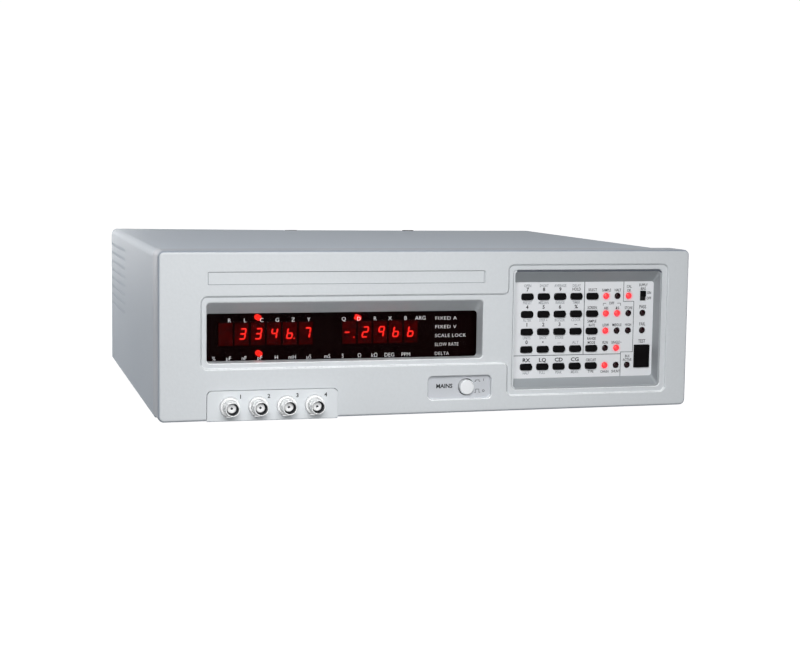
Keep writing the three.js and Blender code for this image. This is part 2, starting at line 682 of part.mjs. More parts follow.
// The grey lining of the keypad opening: a nose in the face's hole, a flange, sloping walls and posts.
function keypadSurround() {
  const noseFront = depthToY(BAND_DEPTH + FIT);
  const flangeFront = depthToY(FACE_THICKNESS + FIT);
  const flangeBack = flangeFront + SURROUND_WALL;
  const floor = depthToY(KEYPAD_DEPTH - FIT);
  const nose = slab(roundedOutline(...SURROUND_NOSE), noseFront, flangeBack);
  const flange = slab(
    roundedOutline(
      SURROUND_NOSE[0] - SURROUND_FLANGE, SURROUND_NOSE[1] + SURROUND_FLANGE,
      SURROUND_NOSE[2] - SURROUND_FLANGE, SURROUND_NOSE[3] + SURROUND_FLANGE, SURROUND_FLANGE,
    ),
    flangeFront, flangeBack,
  );
  const walls = tapered(
    grown(SURROUND_MOUTH, SURROUND_WALL), grown(SURROUND_FLOOR, SURROUND_WALL), noseFront, floor,
  );
  const inside = slab(roundedOutline(...SURROUND_NOSE), noseFront, floor + OVERRUN);
  const [left, right, bottom, top] = SURROUND_FLOOR;
  const posts = [];
  for (const x of [left - KEYPAD_POST_ACROSS, right + KEYPAD_POST_ACROSS]) {
    for (const z of [bottom - KEYPAD_POST_DOWN, top + KEYPAD_POST_DOWN]) {
      posts.push(bar(
        x, z, KEYPAD_POST_RADIUS, flangeFront, depthToY(KEYPAD_BOARD_FRONT - FIT), SMALL_ROUND_COUNT,
      ));
    }
  }
  const tub = joined([walls.intersect(inside), nose, flange, ...posts]);
  const mouth = tapered(SURROUND_MOUTH, SURROUND_FLOOR, noseFront, floor);
  const lip = slab(roundedOutline(...SURROUND_MOUTH), noseFront - OVERRUN, noseFront);
  const exit = slab(roundedOutline(...SURROUND_FLOOR), floor, floor + OVERRUN);
  return tub.subtract(joined([mouth, lip, exit]));
}

// The printed keypad panel, with a hole for each key and lamp and a slot for the slide switch.
function keypadOverlay() {
  const front = depthToY(KEYPAD_DEPTH);
  const back = depthToY(OVERLAY_BACK);
  const outline = grown(SURROUND_FLOOR, OVERLAY_MARGIN).with(4, OVERLAY_CORNER);
  const sheet = slab(roundedOutline(...outline), front, back);
  const keyHole = (x, z, width, height, radius) => slab(
    roundedOutline(
      x - width / 2 - FIT, x + width / 2 + FIT, z - height / 2 - FIT, z + height / 2 + FIT, radius,
    ),
    front - OVERRUN, back + OVERRUN, 0, KEY_CORNER_COUNT,
  );
  const holes = KEY_SITES.map(([x, z]) => keyHole(x, z, KEY_WIDTH, KEY_HEIGHT, KEY_CORNER));
  holes.push(keyHole(STATUS_X, START_Z, START_WIDTH, START_HEIGHT, KEY_EDGE));
  holes.push(keyHole(STATUS_X, SLIDER_Z, SLIDER_SLOT_WIDTH, SLIDER_SLOT_HEIGHT, KEY_EDGE));
  for (const [x, row] of LED_SITES) {
    holes.push(bar(
      x, keyZ(row), LED_DIAMETER / 2 + FIT, front - OVERRUN, back + OVERRUN, SMALL_ROUND_COUNT,
    ));
  }
  return sheet.subtract(joined(holes));
}

// One key, about its own centre on the panel's front plane: cap, flange behind the panel and stem.
function keyGeometry(width, height, corner, travel, proud) {
  const flangeFront = OVERLAY_THICKNESS + FIT;
  const cap = slab(
    roundedOutline(-width / 2, width / 2, -height / 2, height / 2, corner),
    -proud, flangeFront + KEY_FLANGE_THICKNESS, KEY_EDGE, KEY_CORNER_COUNT,
  );
  const flange = centredBlock(
    0, 0, width + 2 * KEY_FLANGE, height + 2 * KEY_FLANGE, flangeFront,
    flangeFront + KEY_FLANGE_THICKNESS,
  );
  const stemEnd = SWITCH_FRONT - KEYPAD_DEPTH - travel - FIT;
  const stem = centredBlock(0, 0, KEY_STEM, KEY_STEM, flangeFront, stemEnd);
  return toGeometry(cap.add(flange).add(stem));
}

// The keypad's circuit board with its switches, the slide switch's body and the lamps.
function keypadBoard() {
  const front = depthToY(KEYPAD_BOARD_FRONT);
  const back = front + BOARD_THICKNESS;
  const [left, right, bottom, top] = grown(SURROUND_FLOOR, KEYPAD_BOARD_MARGIN);
  const pieces = [block(left, right, front, back, bottom, top)];
  const switchFront = depthToY(SWITCH_FRONT);
  for (const [x, z] of [...KEY_SITES, [STATUS_X, START_Z]]) {
    pieces.push(centredBlock(x, z, SWITCH_SIZE, SWITCH_SIZE, switchFront, front));
  }
  const slideBodyFront = depthToY(OVERLAY_BACK + SLIDER_PROUD + 2 * FIT);
  pieces.push(centredBlock(STATUS_X, SLIDER_Z, SWITCH_SIZE, 2 * SWITCH_SIZE, slideBodyFront, front));
  for (const [x, row] of LED_SITES) {
    pieces.push(bar(
      x, keyZ(row), LED_DIAMETER / 2, depthToY(KEYPAD_DEPTH - LED_PROUD), front, SMALL_ROUND_COUNT,
    ));
  }
  return joined(pieces);
}

// The slide switch's knob, in its upper place.
function biasSwitchKnob() {
  const width = SLIDER_SLOT_WIDTH - FIT;
  const height = SLIDER_SLOT_HEIGHT - SLIDER_TRAVEL;
  const z = SLIDER_Z + SLIDER_TRAVEL / 2;
  const front = depthToY(KEYPAD_DEPTH - SLIDER_PROUD);
  const back = depthToY(OVERLAY_BACK + SLIDER_PROUD + FIT);
  const shaft = centredBlock(STATUS_X, z, width, height, front, back);
  const shoe = centredBlock(
    STATUS_X, z, width + 2 * FIT + KEY_FLANGE, height, depthToY(OVERLAY_BACK + FIT), back,
  );
  return shaft.add(shoe);
}

// The red window behind the display tub.
function displayWindow() {
  const outline = roundedOutline(...grown(DISPLAY_BACK_RECTANGLE, WINDOW_MARGIN));
  return slab(outline, depthToY(WINDOW_FRONT), depthToY(WINDOW_BACK));
}

// The display's circuit board, with two groups of digits and a row of lamps above and below them.
function displayBoard() {
  const front = depthToY(DISPLAY_BOARD_FRONT);
  const faces = depthToY(DIGIT_FRONT);
  const [left, right, bottom, top] = grown(DISPLAY_BACK_RECTANGLE, DISPLAY_BOARD_MARGIN);
  const pieces = [block(left, right, front, front + BOARD_THICKNESS, bottom, top)];
  const [windowLeft, windowRight, windowBottom, windowTop] = DISPLAY_BACK_RECTANGLE;
  const windowWidth = windowRight - windowLeft;
  const windowHeight = windowTop - windowBottom;
  const columnX = (share, i) => windowLeft + windowWidth * (share + i * DIGIT_PITCH_SHARE);
  const rowZ = (share) => windowTop - windowHeight * share;
  const digitWidth = windowWidth * DIGIT_PITCH_SHARE - DIGIT_GAP;
  const digitHeight = windowHeight * DIGIT_HEIGHT_SHARE;
  const group = (share, count) => {
    for (let i = 0; i < count; i += 1) {
      const x = columnX(share, i);
      pieces.push(centredBlock(x, rowZ(DIGITS_DOWN_SHARE), digitWidth, digitHeight, faces, front));
    }
  };
  group(LEFT_DIGITS_SHARE, LEFT_DIGIT_COUNT);
  group(RIGHT_DIGITS_SHARE, RIGHT_DIGIT_COUNT);
  for (let i = 0; i < LAMP_COUNT; i += 1) {
    for (const share of [UPPER_LAMPS_SHARE, LOWER_LAMPS_SHARE]) {
      const x = columnX(LEFT_DIGITS_SHARE, i);
      pieces.push(centredBlock(x, rowZ(share), LAMP_SIZE, LAMP_SIZE, faces, front));
    }
  }
  return joined(pieces);
}

// The push-button's cap and the stem behind it.
function powerButton() {
  const front = depthToY(POWER_DEPTH - BUTTON_PROUD);
  const radius = BUTTON_DIAMETER / 2;
  const profile = [
    new THREE.Vector2(0, 0),
    new THREE.Vector2(radius - BUTTON_EDGE, 0),
    new THREE.Vector2(radius - BUTTON_EDGE / 3, BUTTON_EDGE / 3),
    new THREE.Vector2(radius, BUTTON_EDGE),
    new THREE.Vector2(radius, BUTTON_LENGTH),
    new THREE.Vector2(BUTTON_STEM_DIAMETER / 2, BUTTON_LENGTH),
    new THREE.Vector2(BUTTON_STEM_DIAMETER / 2, BUTTON_LENGTH + BUTTON_STEM),
    new THREE.Vector2(0, BUTTON_LENGTH + BUTTON_STEM),
  ];
  return toSolid(new THREE.LatheGeometry(profile, ROUND_COUNT).translate(BUTTON_X, front, BUTTON_Z));
}

// The mains switch behind the button, on a foot that stands on the pan's front ear.
function powerSwitch() {
  const front = depthToY(POWER_DEPTH - BUTTON_PROUD + BUTTON_LENGTH + BUTTON_STEM + BUTTON_IN + FIT);
  const body = centredBlock(
    BUTTON_X, BUTTON_Z, POWER_SWITCH_WIDTH, POWER_SWITCH_HEIGHT, front, front + POWER_SWITCH_LENGTH,
  );
  const footBack = front + POWER_SWITCH_LENGTH;
  const foot = block(
    BUTTON_X - POWER_SWITCH_WIDTH / 2, BUTTON_X + POWER_SWITCH_WIDTH / 2, footBack - SPIGOT_OVERLAP,
    footBack, PAN_TOP + FIT, BUTTON_Z,
  );
  return body.add(foot);
}

// The plate that carries the test connectors, in its notch at the bottom of the face.
function connectorPlate() {
  const outline = roundedOutline(...PLATE_RECTANGLE);
  const [left, right, bottom, top] = PLATE_RECTANGLE;
  const front = depthToY(-PLATE_PROUD);
  const back = depthToY(PLATE_BACK);
  const squareFoot = block(left, right, front, back, bottom, bottom + PLATE_CORNER);
  const holes = [];
  for (let i = 0; i < JACK_COUNT; i += 1) {
    holes.push(bar(jackX(i), JACK_Z, COLLAR_RADIUS + FIT, front - OVERRUN, back + OVERRUN));
  }
  return slab(outline, front, back, 0, FINE_CORNER_COUNT).add(squareFoot).subtract(joined(holes));
}

// One insulating strip behind the plate, with a collar that comes through it round each jack.
function bncInsulator() {
  const left = jackX(0) - INSULATOR_MARGIN;
  const right = jackX(JACK_COUNT - 1) + INSULATOR_MARGIN;
  const front = depthToY(INSULATOR_FRONT);
  const back = depthToY(INSULATOR_BACK);
  const bottom = CASE_BOTTOM + FIT;
  const strip = block(left, right, front, back, bottom, bottom + INSULATOR_HEIGHT);
  const collars = [];
  const bores = [];
  for (let i = 0; i < JACK_COUNT; i += 1) {
    const collarFront = depthToY(-PLATE_PROUD - COLLAR_PROUD);
    collars.push(bar(jackX(i), JACK_Z, COLLAR_RADIUS, collarFront, back));
    bores.push(bar(jackX(i), JACK_Z, JACK_RADIUS + FIT, collarFront - OVERRUN, back + OVERRUN));
  }
  return strip.add(joined(collars)).subtract(joined(bores));
}

// One coaxial jack about its axis, with its tip at zero: barrel, inner nose, lugs, nut and tail.
function jackGeometry() {
  const nutFront = FRONT_REACH + INSULATOR_BACK + FIT;
  const nutBack = nutFront + JACK_NUT_THICKNESS;
  const profile = [
    new THREE.Vector2(0, JACK_SOCKET_DEPTH),
    new THREE.Vector2(JACK_SOCKET_RADIUS, JACK_SOCKET_DEPTH),
    new THREE.Vector2(JACK_SOCKET_RADIUS, JACK_NOSE_SETBACK),
    new THREE.Vector2(JACK_NOSE_RADIUS, JACK_NOSE_SETBACK),
    new THREE.Vector2(JACK_NOSE_RADIUS, JACK_BORE_DEPTH),
    new THREE.Vector2(JACK_BORE_RADIUS, JACK_BORE_DEPTH),
    new THREE.Vector2(JACK_BORE_RADIUS, 0),
    new THREE.Vector2(JACK_RADIUS, 0),
    new THREE.Vector2(JACK_RADIUS, nutFront),
    new THREE.Vector2(JACK_RADIUS + JACK_NUT_STEP, nutFront),
    new THREE.Vector2(JACK_RADIUS + JACK_NUT_STEP, nutBack),
    new THREE.Vector2(JACK_TAIL_RADIUS, nutBack),
    new THREE.Vector2(JACK_TAIL_RADIUS, nutBack + JACK_TAIL),
    new THREE.Vector2(0, nutBack + JACK_TAIL),
  ];
  const body = toSolid(new THREE.LatheGeometry(profile, ROUND_COUNT));
  const lug = (start) => {
    const length = JACK_WALL + LUG_PROUD - FIT;
    const pin = new THREE.CylinderGeometry(LUG_RADIUS, LUG_RADIUS, length, SMALL_ROUND_COUNT);
    pin.translate(0, JACK_BORE_RADIUS + FIT + length / 2, 0).rotateZ(-Math.PI / 2);
    return toSolid(pin.translate(0, LUG_SETBACK, 0).rotateY(start));
  };
  return toGeometry(body.add(lug(LUG_TILT)).add(lug(Math.PI + LUG_TILT)));
}

// The cover: a top and two sides with rounded shoulders, vent slots in the sides and two rear notches.
function topCover() {
  const bottom = PAN_BOTTOM;
  const outer = [-COVER_SIDE, COVER_SIDE, bottom - COVER_CORNER, COVER_TOP, COVER_CORNER];
  const inner = grown(outer, -SHEET);
  const below = block(
    -COVER_SIDE - OVERRUN, COVER_SIDE + OVERRUN, COVER_FRONT - OVERRUN, REAR_Y + OVERRUN,
    bottom - COVER_CORNER - OVERRUN, bottom,
  );
  const tunnel = block(
    inner[0], inner[1], COVER_FRONT - OVERRUN, REAR_Y + OVERRUN,
    bottom - COVER_CORNER, bottom + COVER_CORNER,
  );
  const shell = slab(roundedOutline(...outer), COVER_FRONT, REAR_Y, 0, FINE_CORNER_COUNT)
    .subtract(slab(
      roundedOutline(...inner), COVER_FRONT - OVERRUN, REAR_Y + OVERRUN, 0, FINE_CORNER_COUNT,
    ))
    .subtract(tunnel)
    .subtract(below);
  const cuts = [];
  const ventBack = REAR_Y - VENT_FROM_REAR;
  for (let row = 0; row < VENT_COUNT; row += 1) {
    const top = downToZ(VENT_TOP_DOWN + row * VENT_PITCH);
    cuts.push(block(
      -COVER_SIDE - OVERRUN, COVER_SIDE + OVERRUN, ventBack - VENT_LENGTH, ventBack,
      top - VENT_HEIGHT, top,
    ));
  }
  for (const x of [LEFT_NOTCH_X, RIGHT_NOTCH_X]) {
    cuts.push(block(
      x - NOTCH_WIDTH / 2, x + NOTCH_WIDTH / 2, REAR_Y - NOTCH_DEPTH, REAR_Y + OVERRUN,
      COVER_TOP - SHEET - OVERRUN, COVER_TOP + OVERRUN,
    ));
  }
  return shell.subtract(joined(cuts));
}

// The bottom pan: a tray with ears that reach into the front and standoffs for the main board.
function bottomPan() {
  const back = REAR_INNER - FIT;
  const wallTop = PAN_BOTTOM + PAN_WALL_HEIGHT;
  const tray = block(-PAN_SIDE, PAN_SIDE, PAN_FRONT, back, PAN_BOTTOM, wallTop);
  const inside = block(
    -PAN_SIDE + SHEET, PAN_SIDE - SHEET, PAN_FRONT - OVERRUN, back + OVERRUN, PAN_TOP, wallTop + OVERRUN,
  );
  const pieces = [tray.subtract(inside)];
  for (const x of [-FOOT_X, FOOT_X]) {
    const earBottom = CASE_BOTTOM + SPIGOT_INSET + SPIGOT_THICKNESS + FIT;
    const ear = block(
      x - FOOT_WIDTH / 2, x + FOOT_WIDTH / 2, depthToY(BEZEL_DEPTH), PAN_FRONT + SHEET,
      earBottom, earBottom + SHEET,
    );
    const riser = block(
      x - FOOT_WIDTH / 2, x + FOOT_WIDTH / 2, PAN_FRONT, PAN_FRONT + SHEET, PAN_BOTTOM, earBottom + SHEET,
    );
    pieces.push(ear.add(riser));
  }
  const inset = STANDOFF_RADIUS * 2;
  for (const x of [MAIN_BOARD_LEFT + inset, MAIN_BOARD_LEFT + MAIN_BOARD_WIDTH - inset]) {
    for (const y of [MAIN_BOARD_FRONT + inset, MAIN_BOARD_FRONT + MAIN_BOARD_DEPTH - inset]) {
      pieces.push(post(x, y, STANDOFF_RADIUS, PAN_BOTTOM, MAIN_BOARD_BOTTOM - FIT, SMALL_ROUND_COUNT));
    }
  }
  const slots = [];
  const slotY = MAIN_BOARD_FRONT + MAIN_BOARD_DEPTH / 2;
  for (let i = 0; i < FLOOR_SLOT_COUNT; i += 1) {
    const step = i - (FLOOR_SLOT_COUNT - 1) / 2;
    const x = MAIN_BOARD_LEFT + MAIN_BOARD_WIDTH / 2 + step * FLOOR_SLOT_PITCH;
    slots.push(block(
      x - FLOOR_SLOT_WIDTH / 2, x + FLOOR_SLOT_WIDTH / 2, slotY - FLOOR_SLOT_LENGTH / 2,
      slotY + FLOOR_SLOT_LENGTH / 2, PAN_BOTTOM - OVERRUN, PAN_TOP + FIT,
    ));
  }
  return joined(pieces).subtract(joined(slots));
}

// The rear panel, with its openings, a row of vents and two lugs that stand in the cover's notches.
function rearPanel() {
  const side = COVER_SIDE - SHEET - FIT;
  const top = COVER_TOP - SHEET - FIT;
  const corner = COVER_CORNER - SHEET;
  const plate = slab(
    roundedOutline(-side, side, PAN_BOTTOM - COVER_CORNER, top, corner), REAR_INNER, REAR_FACE,
  ).subtract(block(
    -side - OVERRUN, side + OVERRUN, REAR_INNER - OVERRUN, REAR_FACE + OVERRUN,
    PAN_BOTTOM - COVER_CORNER - OVERRUN, PAN_BOTTOM,
  ));
  const cuts = [
    centredBlock(
      INLET_X, INLET_Z, INLET_WIDTH - 2 * INLET_BODY_INSET + 2 * FIT,
      INLET_HEIGHT - 2 * INLET_BODY_INSET + 2 * FIT, REAR_INNER - OVERRUN, REAR_FACE + OVERRUN,
    ),
    centredBlock(
      SELECTOR_X, INLET_Z, SELECTOR_WIDTH - 2 * SELECTOR_BODY_INSET + 2 * FIT,
      SELECTOR_HEIGHT - 2 * SELECTOR_BODY_INSET + 2 * FIT, REAR_INNER - OVERRUN, REAR_FACE + OVERRUN,
    ),
  ];
  for (let i = 0; i < REAR_VENT_COUNT; i += 1) {
    const x = COVER_SIDE - REAR_VENT_FROM_SIDE - i * REAR_VENT_PITCH;
    cuts.push(block(
      x - REAR_VENT_WIDTH / 2, x + REAR_VENT_WIDTH / 2, REAR_INNER - OVERRUN, REAR_FACE + OVERRUN,
      downToZ(REAR_VENT_DOWN + REAR_VENT_HEIGHT), downToZ(REAR_VENT_DOWN),
    ));
  }
  const lugs = [LEFT_NOTCH_X, RIGHT_NOTCH_X].map((x) => block(
    x - NOTCH_WIDTH / 2 + FIT, x + NOTCH_WIDTH / 2 - FIT, REAR_Y - NOTCH_DEPTH + FIT, REAR_FACE,
    top - SHEET, COVER_TOP + LUG_HEIGHT,
  ));
  return plate.subtract(joined(cuts)).add(joined(lugs));
}

// A rubber bumper on the rear panel: two pads with a waist between them, to wind a lead round.
function rearBumper() {
  const half = BUMPER_WIDTH / 2;
  const back = REAR_Y + BUMPER_REACH;
  const middle = (PAN_BOTTOM + COVER_TOP) / 2;
  const bottom = middle - BUMPER_HEIGHT / 2;
  const top = middle + BUMPER_HEIGHT / 2;
  const whole = slab(roundedOutline(-half, half, bottom, top, BUMPER_WAIST), REAR_FACE + FIT, back);
  const waist = block(
    -half - OVERRUN, half + OVERRUN, REAR_FACE + FIT + BUMPER_WAIST, back + OVERRUN,
    bottom + BUMPER_WIDTH, top - BUMPER_WIDTH,
  );
  return toGeometry(whole.subtract(waist));
}

// The mains inlet with its three pins, and a pocket beside it for the fuse drawer.
function powerInlet() {
  const z = INLET_Z;
  const flangeFront = REAR_FACE + FIT;
  const flangeBack = flangeFront + INLET_FLANGE;
  const flange = slab(
    roundedOutline(
      INLET_X - INLET_WIDTH / 2, INLET_X + INLET_WIDTH / 2, z - INLET_HEIGHT / 2, z + INLET_HEIGHT / 2,
      INLET_FLANGE,
    ),
    flangeFront, flangeBack,
  );
  const body = centredBlock(
    INLET_X, z, INLET_WIDTH - 2 * INLET_BODY_INSET, INLET_HEIGHT - 2 * INLET_BODY_INSET,
    flangeBack - INLET_BODY_DEPTH, flangeFront,
  );
  const socketX = INLET_X - INLET_WIDTH / 2 + SOCKET_SIDE + SOCKET_WIDTH / 2;
  const socketFloor = flangeBack - SOCKET_DEPTH;
  const socket = centredBlock(
    socketX, z, SOCKET_WIDTH, SOCKET_HEIGHT, socketFloor, flangeBack + OVERRUN,
  );
  const drawerX = INLET_X + INLET_WIDTH / 2 - SOCKET_SIDE - DRAWER_WIDTH / 2;
  const pocket = centredBlock(
    drawerX, z, DRAWER_WIDTH + 2 * FIT, DRAWER_HEIGHT + 2 * FIT, flangeBack - DRAWER_DEPTH - FIT,
    flangeBack + OVERRUN,
  );
  const pin = (x, rise) => centredBlock(
    x, z + rise, PIN_WIDTH, PIN_HEIGHT, socketFloor - FIT, socketFloor + PIN_LENGTH,
  );
  const pins = [
    pin(socketX - PIN_SPACING, -PIN_ROW_DROP), pin(socketX + PIN_SPACING, -PIN_ROW_DROP),
    pin(socketX, EARTH_PIN_RISE - PIN_ROW_DROP),
  ];
  return flange.add(body).subtract(socket).subtract(pocket).add(joined(pins));
}

// The fuse drawer in its pocket, with a lip to pull it by.
function fuseDrawer() {
  const z = INLET_Z;
  const x = INLET_X + INLET_WIDTH / 2 - SOCKET_SIDE - DRAWER_WIDTH / 2;
  const flangeBack = REAR_FACE + FIT + INLET_FLANGE;
  const drawer = centredBlock(
    x, z, DRAWER_WIDTH, DRAWER_HEIGHT, flangeBack - DRAWER_DEPTH, flangeBack + FIT,
  );
  const lip = centredBlock(
    x, z, DRAWER_WIDTH + 2 * DRAWER_LIP, DRAWER_HEIGHT + 2 * DRAWER_LIP, flangeBack + FIT,
    flangeBack + FIT + DRAWER_LIP_THICKNESS,
  );
  return drawer.add(lip);
}

// The mains voltage selector, a slide switch that is set with a screwdriver.
function voltageSelector() {
  const z = INLET_Z;
  const flangeFront = REAR_FACE + FIT;
  const flangeBack = flangeFront + SELECTOR_FLANGE;
  const flange = centredBlock(SELECTOR_X, z, SELECTOR_WIDTH, SELECTOR_HEIGHT, flangeFront, flangeBack);
  const body = centredBlock(
    SELECTOR_X, z, SELECTOR_WIDTH - 2 * SELECTOR_BODY_INSET, SELECTOR_HEIGHT - 2 * SELECTOR_BODY_INSET,
    flangeBack - SELECTOR_BODY_DEPTH, flangeFront,
  );
  const slot = centredBlock(
    SELECTOR_X, z, SELECTOR_SLOT_WIDTH, SELECTOR_SLOT_HEIGHT, flangeBack - SELECTOR_SLOT_DEPTH,
    flangeBack + OVERRUN,
  );
  return flange.add(body).subtract(slot);
}

// The selector's slider, at the left end of its slot as seen from the front.
function selectorSlider() {
  const z = INLET_Z;
  const flangeBack = REAR_FACE + FIT + SELECTOR_FLANGE;
  const left = SELECTOR_X - SELECTOR_SLOT_WIDTH / 2 + FIT;
  const right = SELECTOR_X + SELECTOR_SLOT_WIDTH / 2 - FIT - SELECTOR_TRAVEL;
  const half = SELECTOR_SLOT_HEIGHT / 2 - FIT;
  const front = flangeBack - SELECTOR_SLOT_DEPTH + FIT;
  const slider = block(left, right, front, flangeBack - SELECTOR_PROUD, z - half, z + half);
  const slit = centredBlock(
    (left + right) / 2, z, SHEET, SELECTOR_SLOT_HEIGHT, flangeBack - SHEET - SELECTOR_PROUD,
    flangeBack + OVERRUN,
  );
  return slider.subtract(slit);
}

// The main board with its chips and the supply's storage capacitors.
function mainBoard() {
  const right = MAIN_BOARD_LEFT + MAIN_BOARD_WIDTH;
  const back = MAIN_BOARD_FRONT + MAIN_BOARD_DEPTH;
  const pieces = [
    block(MAIN_BOARD_LEFT, right, MAIN_BOARD_FRONT, back, MAIN_BOARD_BOTTOM, MAIN_BOARD_TOP),
  ];
  for (let row = 0; row < CHIP_ROW_COUNT; row += 1) {
    for (let column = 0; column < CHIP_COLUMN_COUNT; column += 1) {
      const x = MAIN_BOARD_LEFT + CHIP_MARGIN + column * MAIN_BOARD_WIDTH * CHIP_PITCH_X_SHARE;
      const y = MAIN_BOARD_FRONT + CHIP_MARGIN + row * MAIN_BOARD_DEPTH * CHIP_PITCH_Y_SHARE;
      pieces.push(block(
        x - CHIP_WIDTH / 2, x + CHIP_WIDTH / 2, y - CHIP_LENGTH / 2, y + CHIP_LENGTH / 2,
        MAIN_BOARD_BOTTOM, MAIN_BOARD_TOP + CHIP_HEIGHT,
      ));
    }
  }
  for (let i = 0; i < CAPACITOR_COUNT; i += 1) {
    pieces.push(post(
      right - CHIP_MARGIN, back - CHIP_MARGIN - i * CAPACITOR_PITCH, CAPACITOR_RADIUS,
      MAIN_BOARD_BOTTOM, MAIN_BOARD_TOP + CAPACITOR_HEIGHT, SMALL_ROUND_COUNT,
    ));
  }
  return joined(pieces);
}

// The mains transformer: a laminated core on two feet, with the coil through it.
function powerTransformer() {
  const y = REAR_Y - TRANSFORMER_FROM_REAR;
  const bottom = PAN_TOP + FIT;
  const core = block(
    TRANSFORMER_X - CORE_WIDTH / 2, TRANSFORMER_X + CORE_WIDTH / 2, y - CORE_DEPTH / 2,
    y + CORE_DEPTH / 2, bottom, bottom + CORE_HEIGHT,
  );
  const coil = block(
    TRANSFORMER_X - COIL_WIDTH / 2, TRANSFORMER_X + COIL_WIDTH / 2, y - COIL_DEPTH / 2,
    y + COIL_DEPTH / 2, bottom + (CORE_HEIGHT - COIL_HEIGHT) / 2,
    bottom + (CORE_HEIGHT + COIL_HEIGHT) / 2,
  );
  const feet = block(
    TRANSFORMER_X - CORE_WIDTH / 2 - CORE_FOOT, TRANSFORMER_X + CORE_WIDTH / 2 + CORE_FOOT,
    y - CORE_FOOT, y + CORE_FOOT, bottom, bottom + CORE_FOOT_THICKNESS,
  );
  return joined([core, coil, feet]);
}

// The regulators' finned heat sink, on the pan beside the transformer.
function heatSink() {
  const left = MAIN_BOARD_LEFT + MAIN_BOARD_WIDTH + SINK_GAP;
  const front = MAIN_BOARD_FRONT;
  const bottom = PAN_TOP + FIT;
  const top = bottom + SINK_HEIGHT;
  const pieces = [block(left, left + SINK_BASE, front, front + SINK_LENGTH, bottom, top)];
  const pitch = (SINK_LENGTH - SINK_FIN_THICKNESS) / (SINK_FIN_COUNT - 1);
  for (let i = 0; i < SINK_FIN_COUNT; i += 1) {
    const y = front + i * pitch;
    pieces.push(block(
      left, left + SINK_BASE + SINK_FIN, y, y + SINK_FIN_THICKNESS, bottom, top,
    ));
  }
  return joined(pieces);
}

// A flat cable, bent down from the back of an upright board and back to the main board's front edge.
function ribbon(x, width, startY, startZ) {
  const t = RIBBON_THICKNESS;
  const endY = MAIN_BOARD_FRONT - FIT;
  const low = MAIN_BOARD_BOTTOM;
  const bend = startY + RIBBON_SAG;
  const path = new THREE.Shape();
  path.moveTo(startY, startZ);
  path.lineTo(bend, startZ);
  path.lineTo(bend, low + t);
  path.lineTo(endY, low + t);
  path.lineTo(endY, low);
  path.lineTo(bend - t, low);
  path.lineTo(bend - t, startZ - t);
  path.lineTo(startY, startZ - t);
  path.closePath();
  const geometry = new THREE.ExtrudeGeometry(path, { depth: width, bevelEnabled: false });
  geometry.rotateX(Math.PI / 2).rotateZ(Math.PI / 2);
  return toSolid(geometry.translate(x - width / 2, 0, 0));
}

// A rubber foot. The front pair have a cross hole that the folding leg turns in.
function foot(withHole) {
  const height = PAN_BOTTOM - FIT;
  const pad = block(-FOOT_WIDTH / 2, FOOT_WIDTH / 2, -FOOT_DEPTH / 2, FOOT_DEPTH / 2, 0, height);
  if (!withHole) return toGeometry(pad);
  const hole = new THREE.CylinderGeometry(
    WIRE_RADIUS + FIT, WIRE_RADIUS + FIT, FOOT_WIDTH + 2 * OVERRUN, SMALL_ROUND_COUNT,
  );
  return toGeometry(pad.subtract(toSolid(hole.rotateZ(Math.PI / 2).translate(0, 0, height / 2))));
}

// The folding leg: one bent wire, flat under the pan, with both ends held in the front feet.
function tiltBail() {
  const armX = FOOT_X - FOOT_WIDTH / 2 - WIRE_SHOULDER;
  const endX = FOOT_X - FOOT_WIDTH / 2 + WIRE_GRIP;
  const pivotY = depthToY(FRONT_FOOT_FROM_FACE);
  const farY = pivotY + WIRE_REACH;
  const bend = (fromX, fromY, cornerX, cornerY, toX, toY) => new THREE.QuadraticBezierCurve3(
    new THREE.Vector3(fromX, fromY, 0), new THREE.Vector3(cornerX, cornerY, 0),
    new THREE.Vector3(toX, toY, 0),
  ).getPoints(CORNER_COUNT);
  const half = [
    new THREE.Vector3(endX, pivotY, 0),
    ...bend(armX + WIRE_BEND, pivotY, armX, pivotY, armX, pivotY + WIRE_BEND),
    ...bend(armX, farY - WIRE_BEND, armX, farY, armX - WIRE_BEND, farY),
  ];
  const mirrored = half.map((point) => new THREE.Vector3(-point.x, point.y, 0)).reverse();
  return sweptWire([...half, ...mirrored], WIRE_RADIUS).translate(0, 0, (PAN_BOTTOM - FIT) / 2);
}

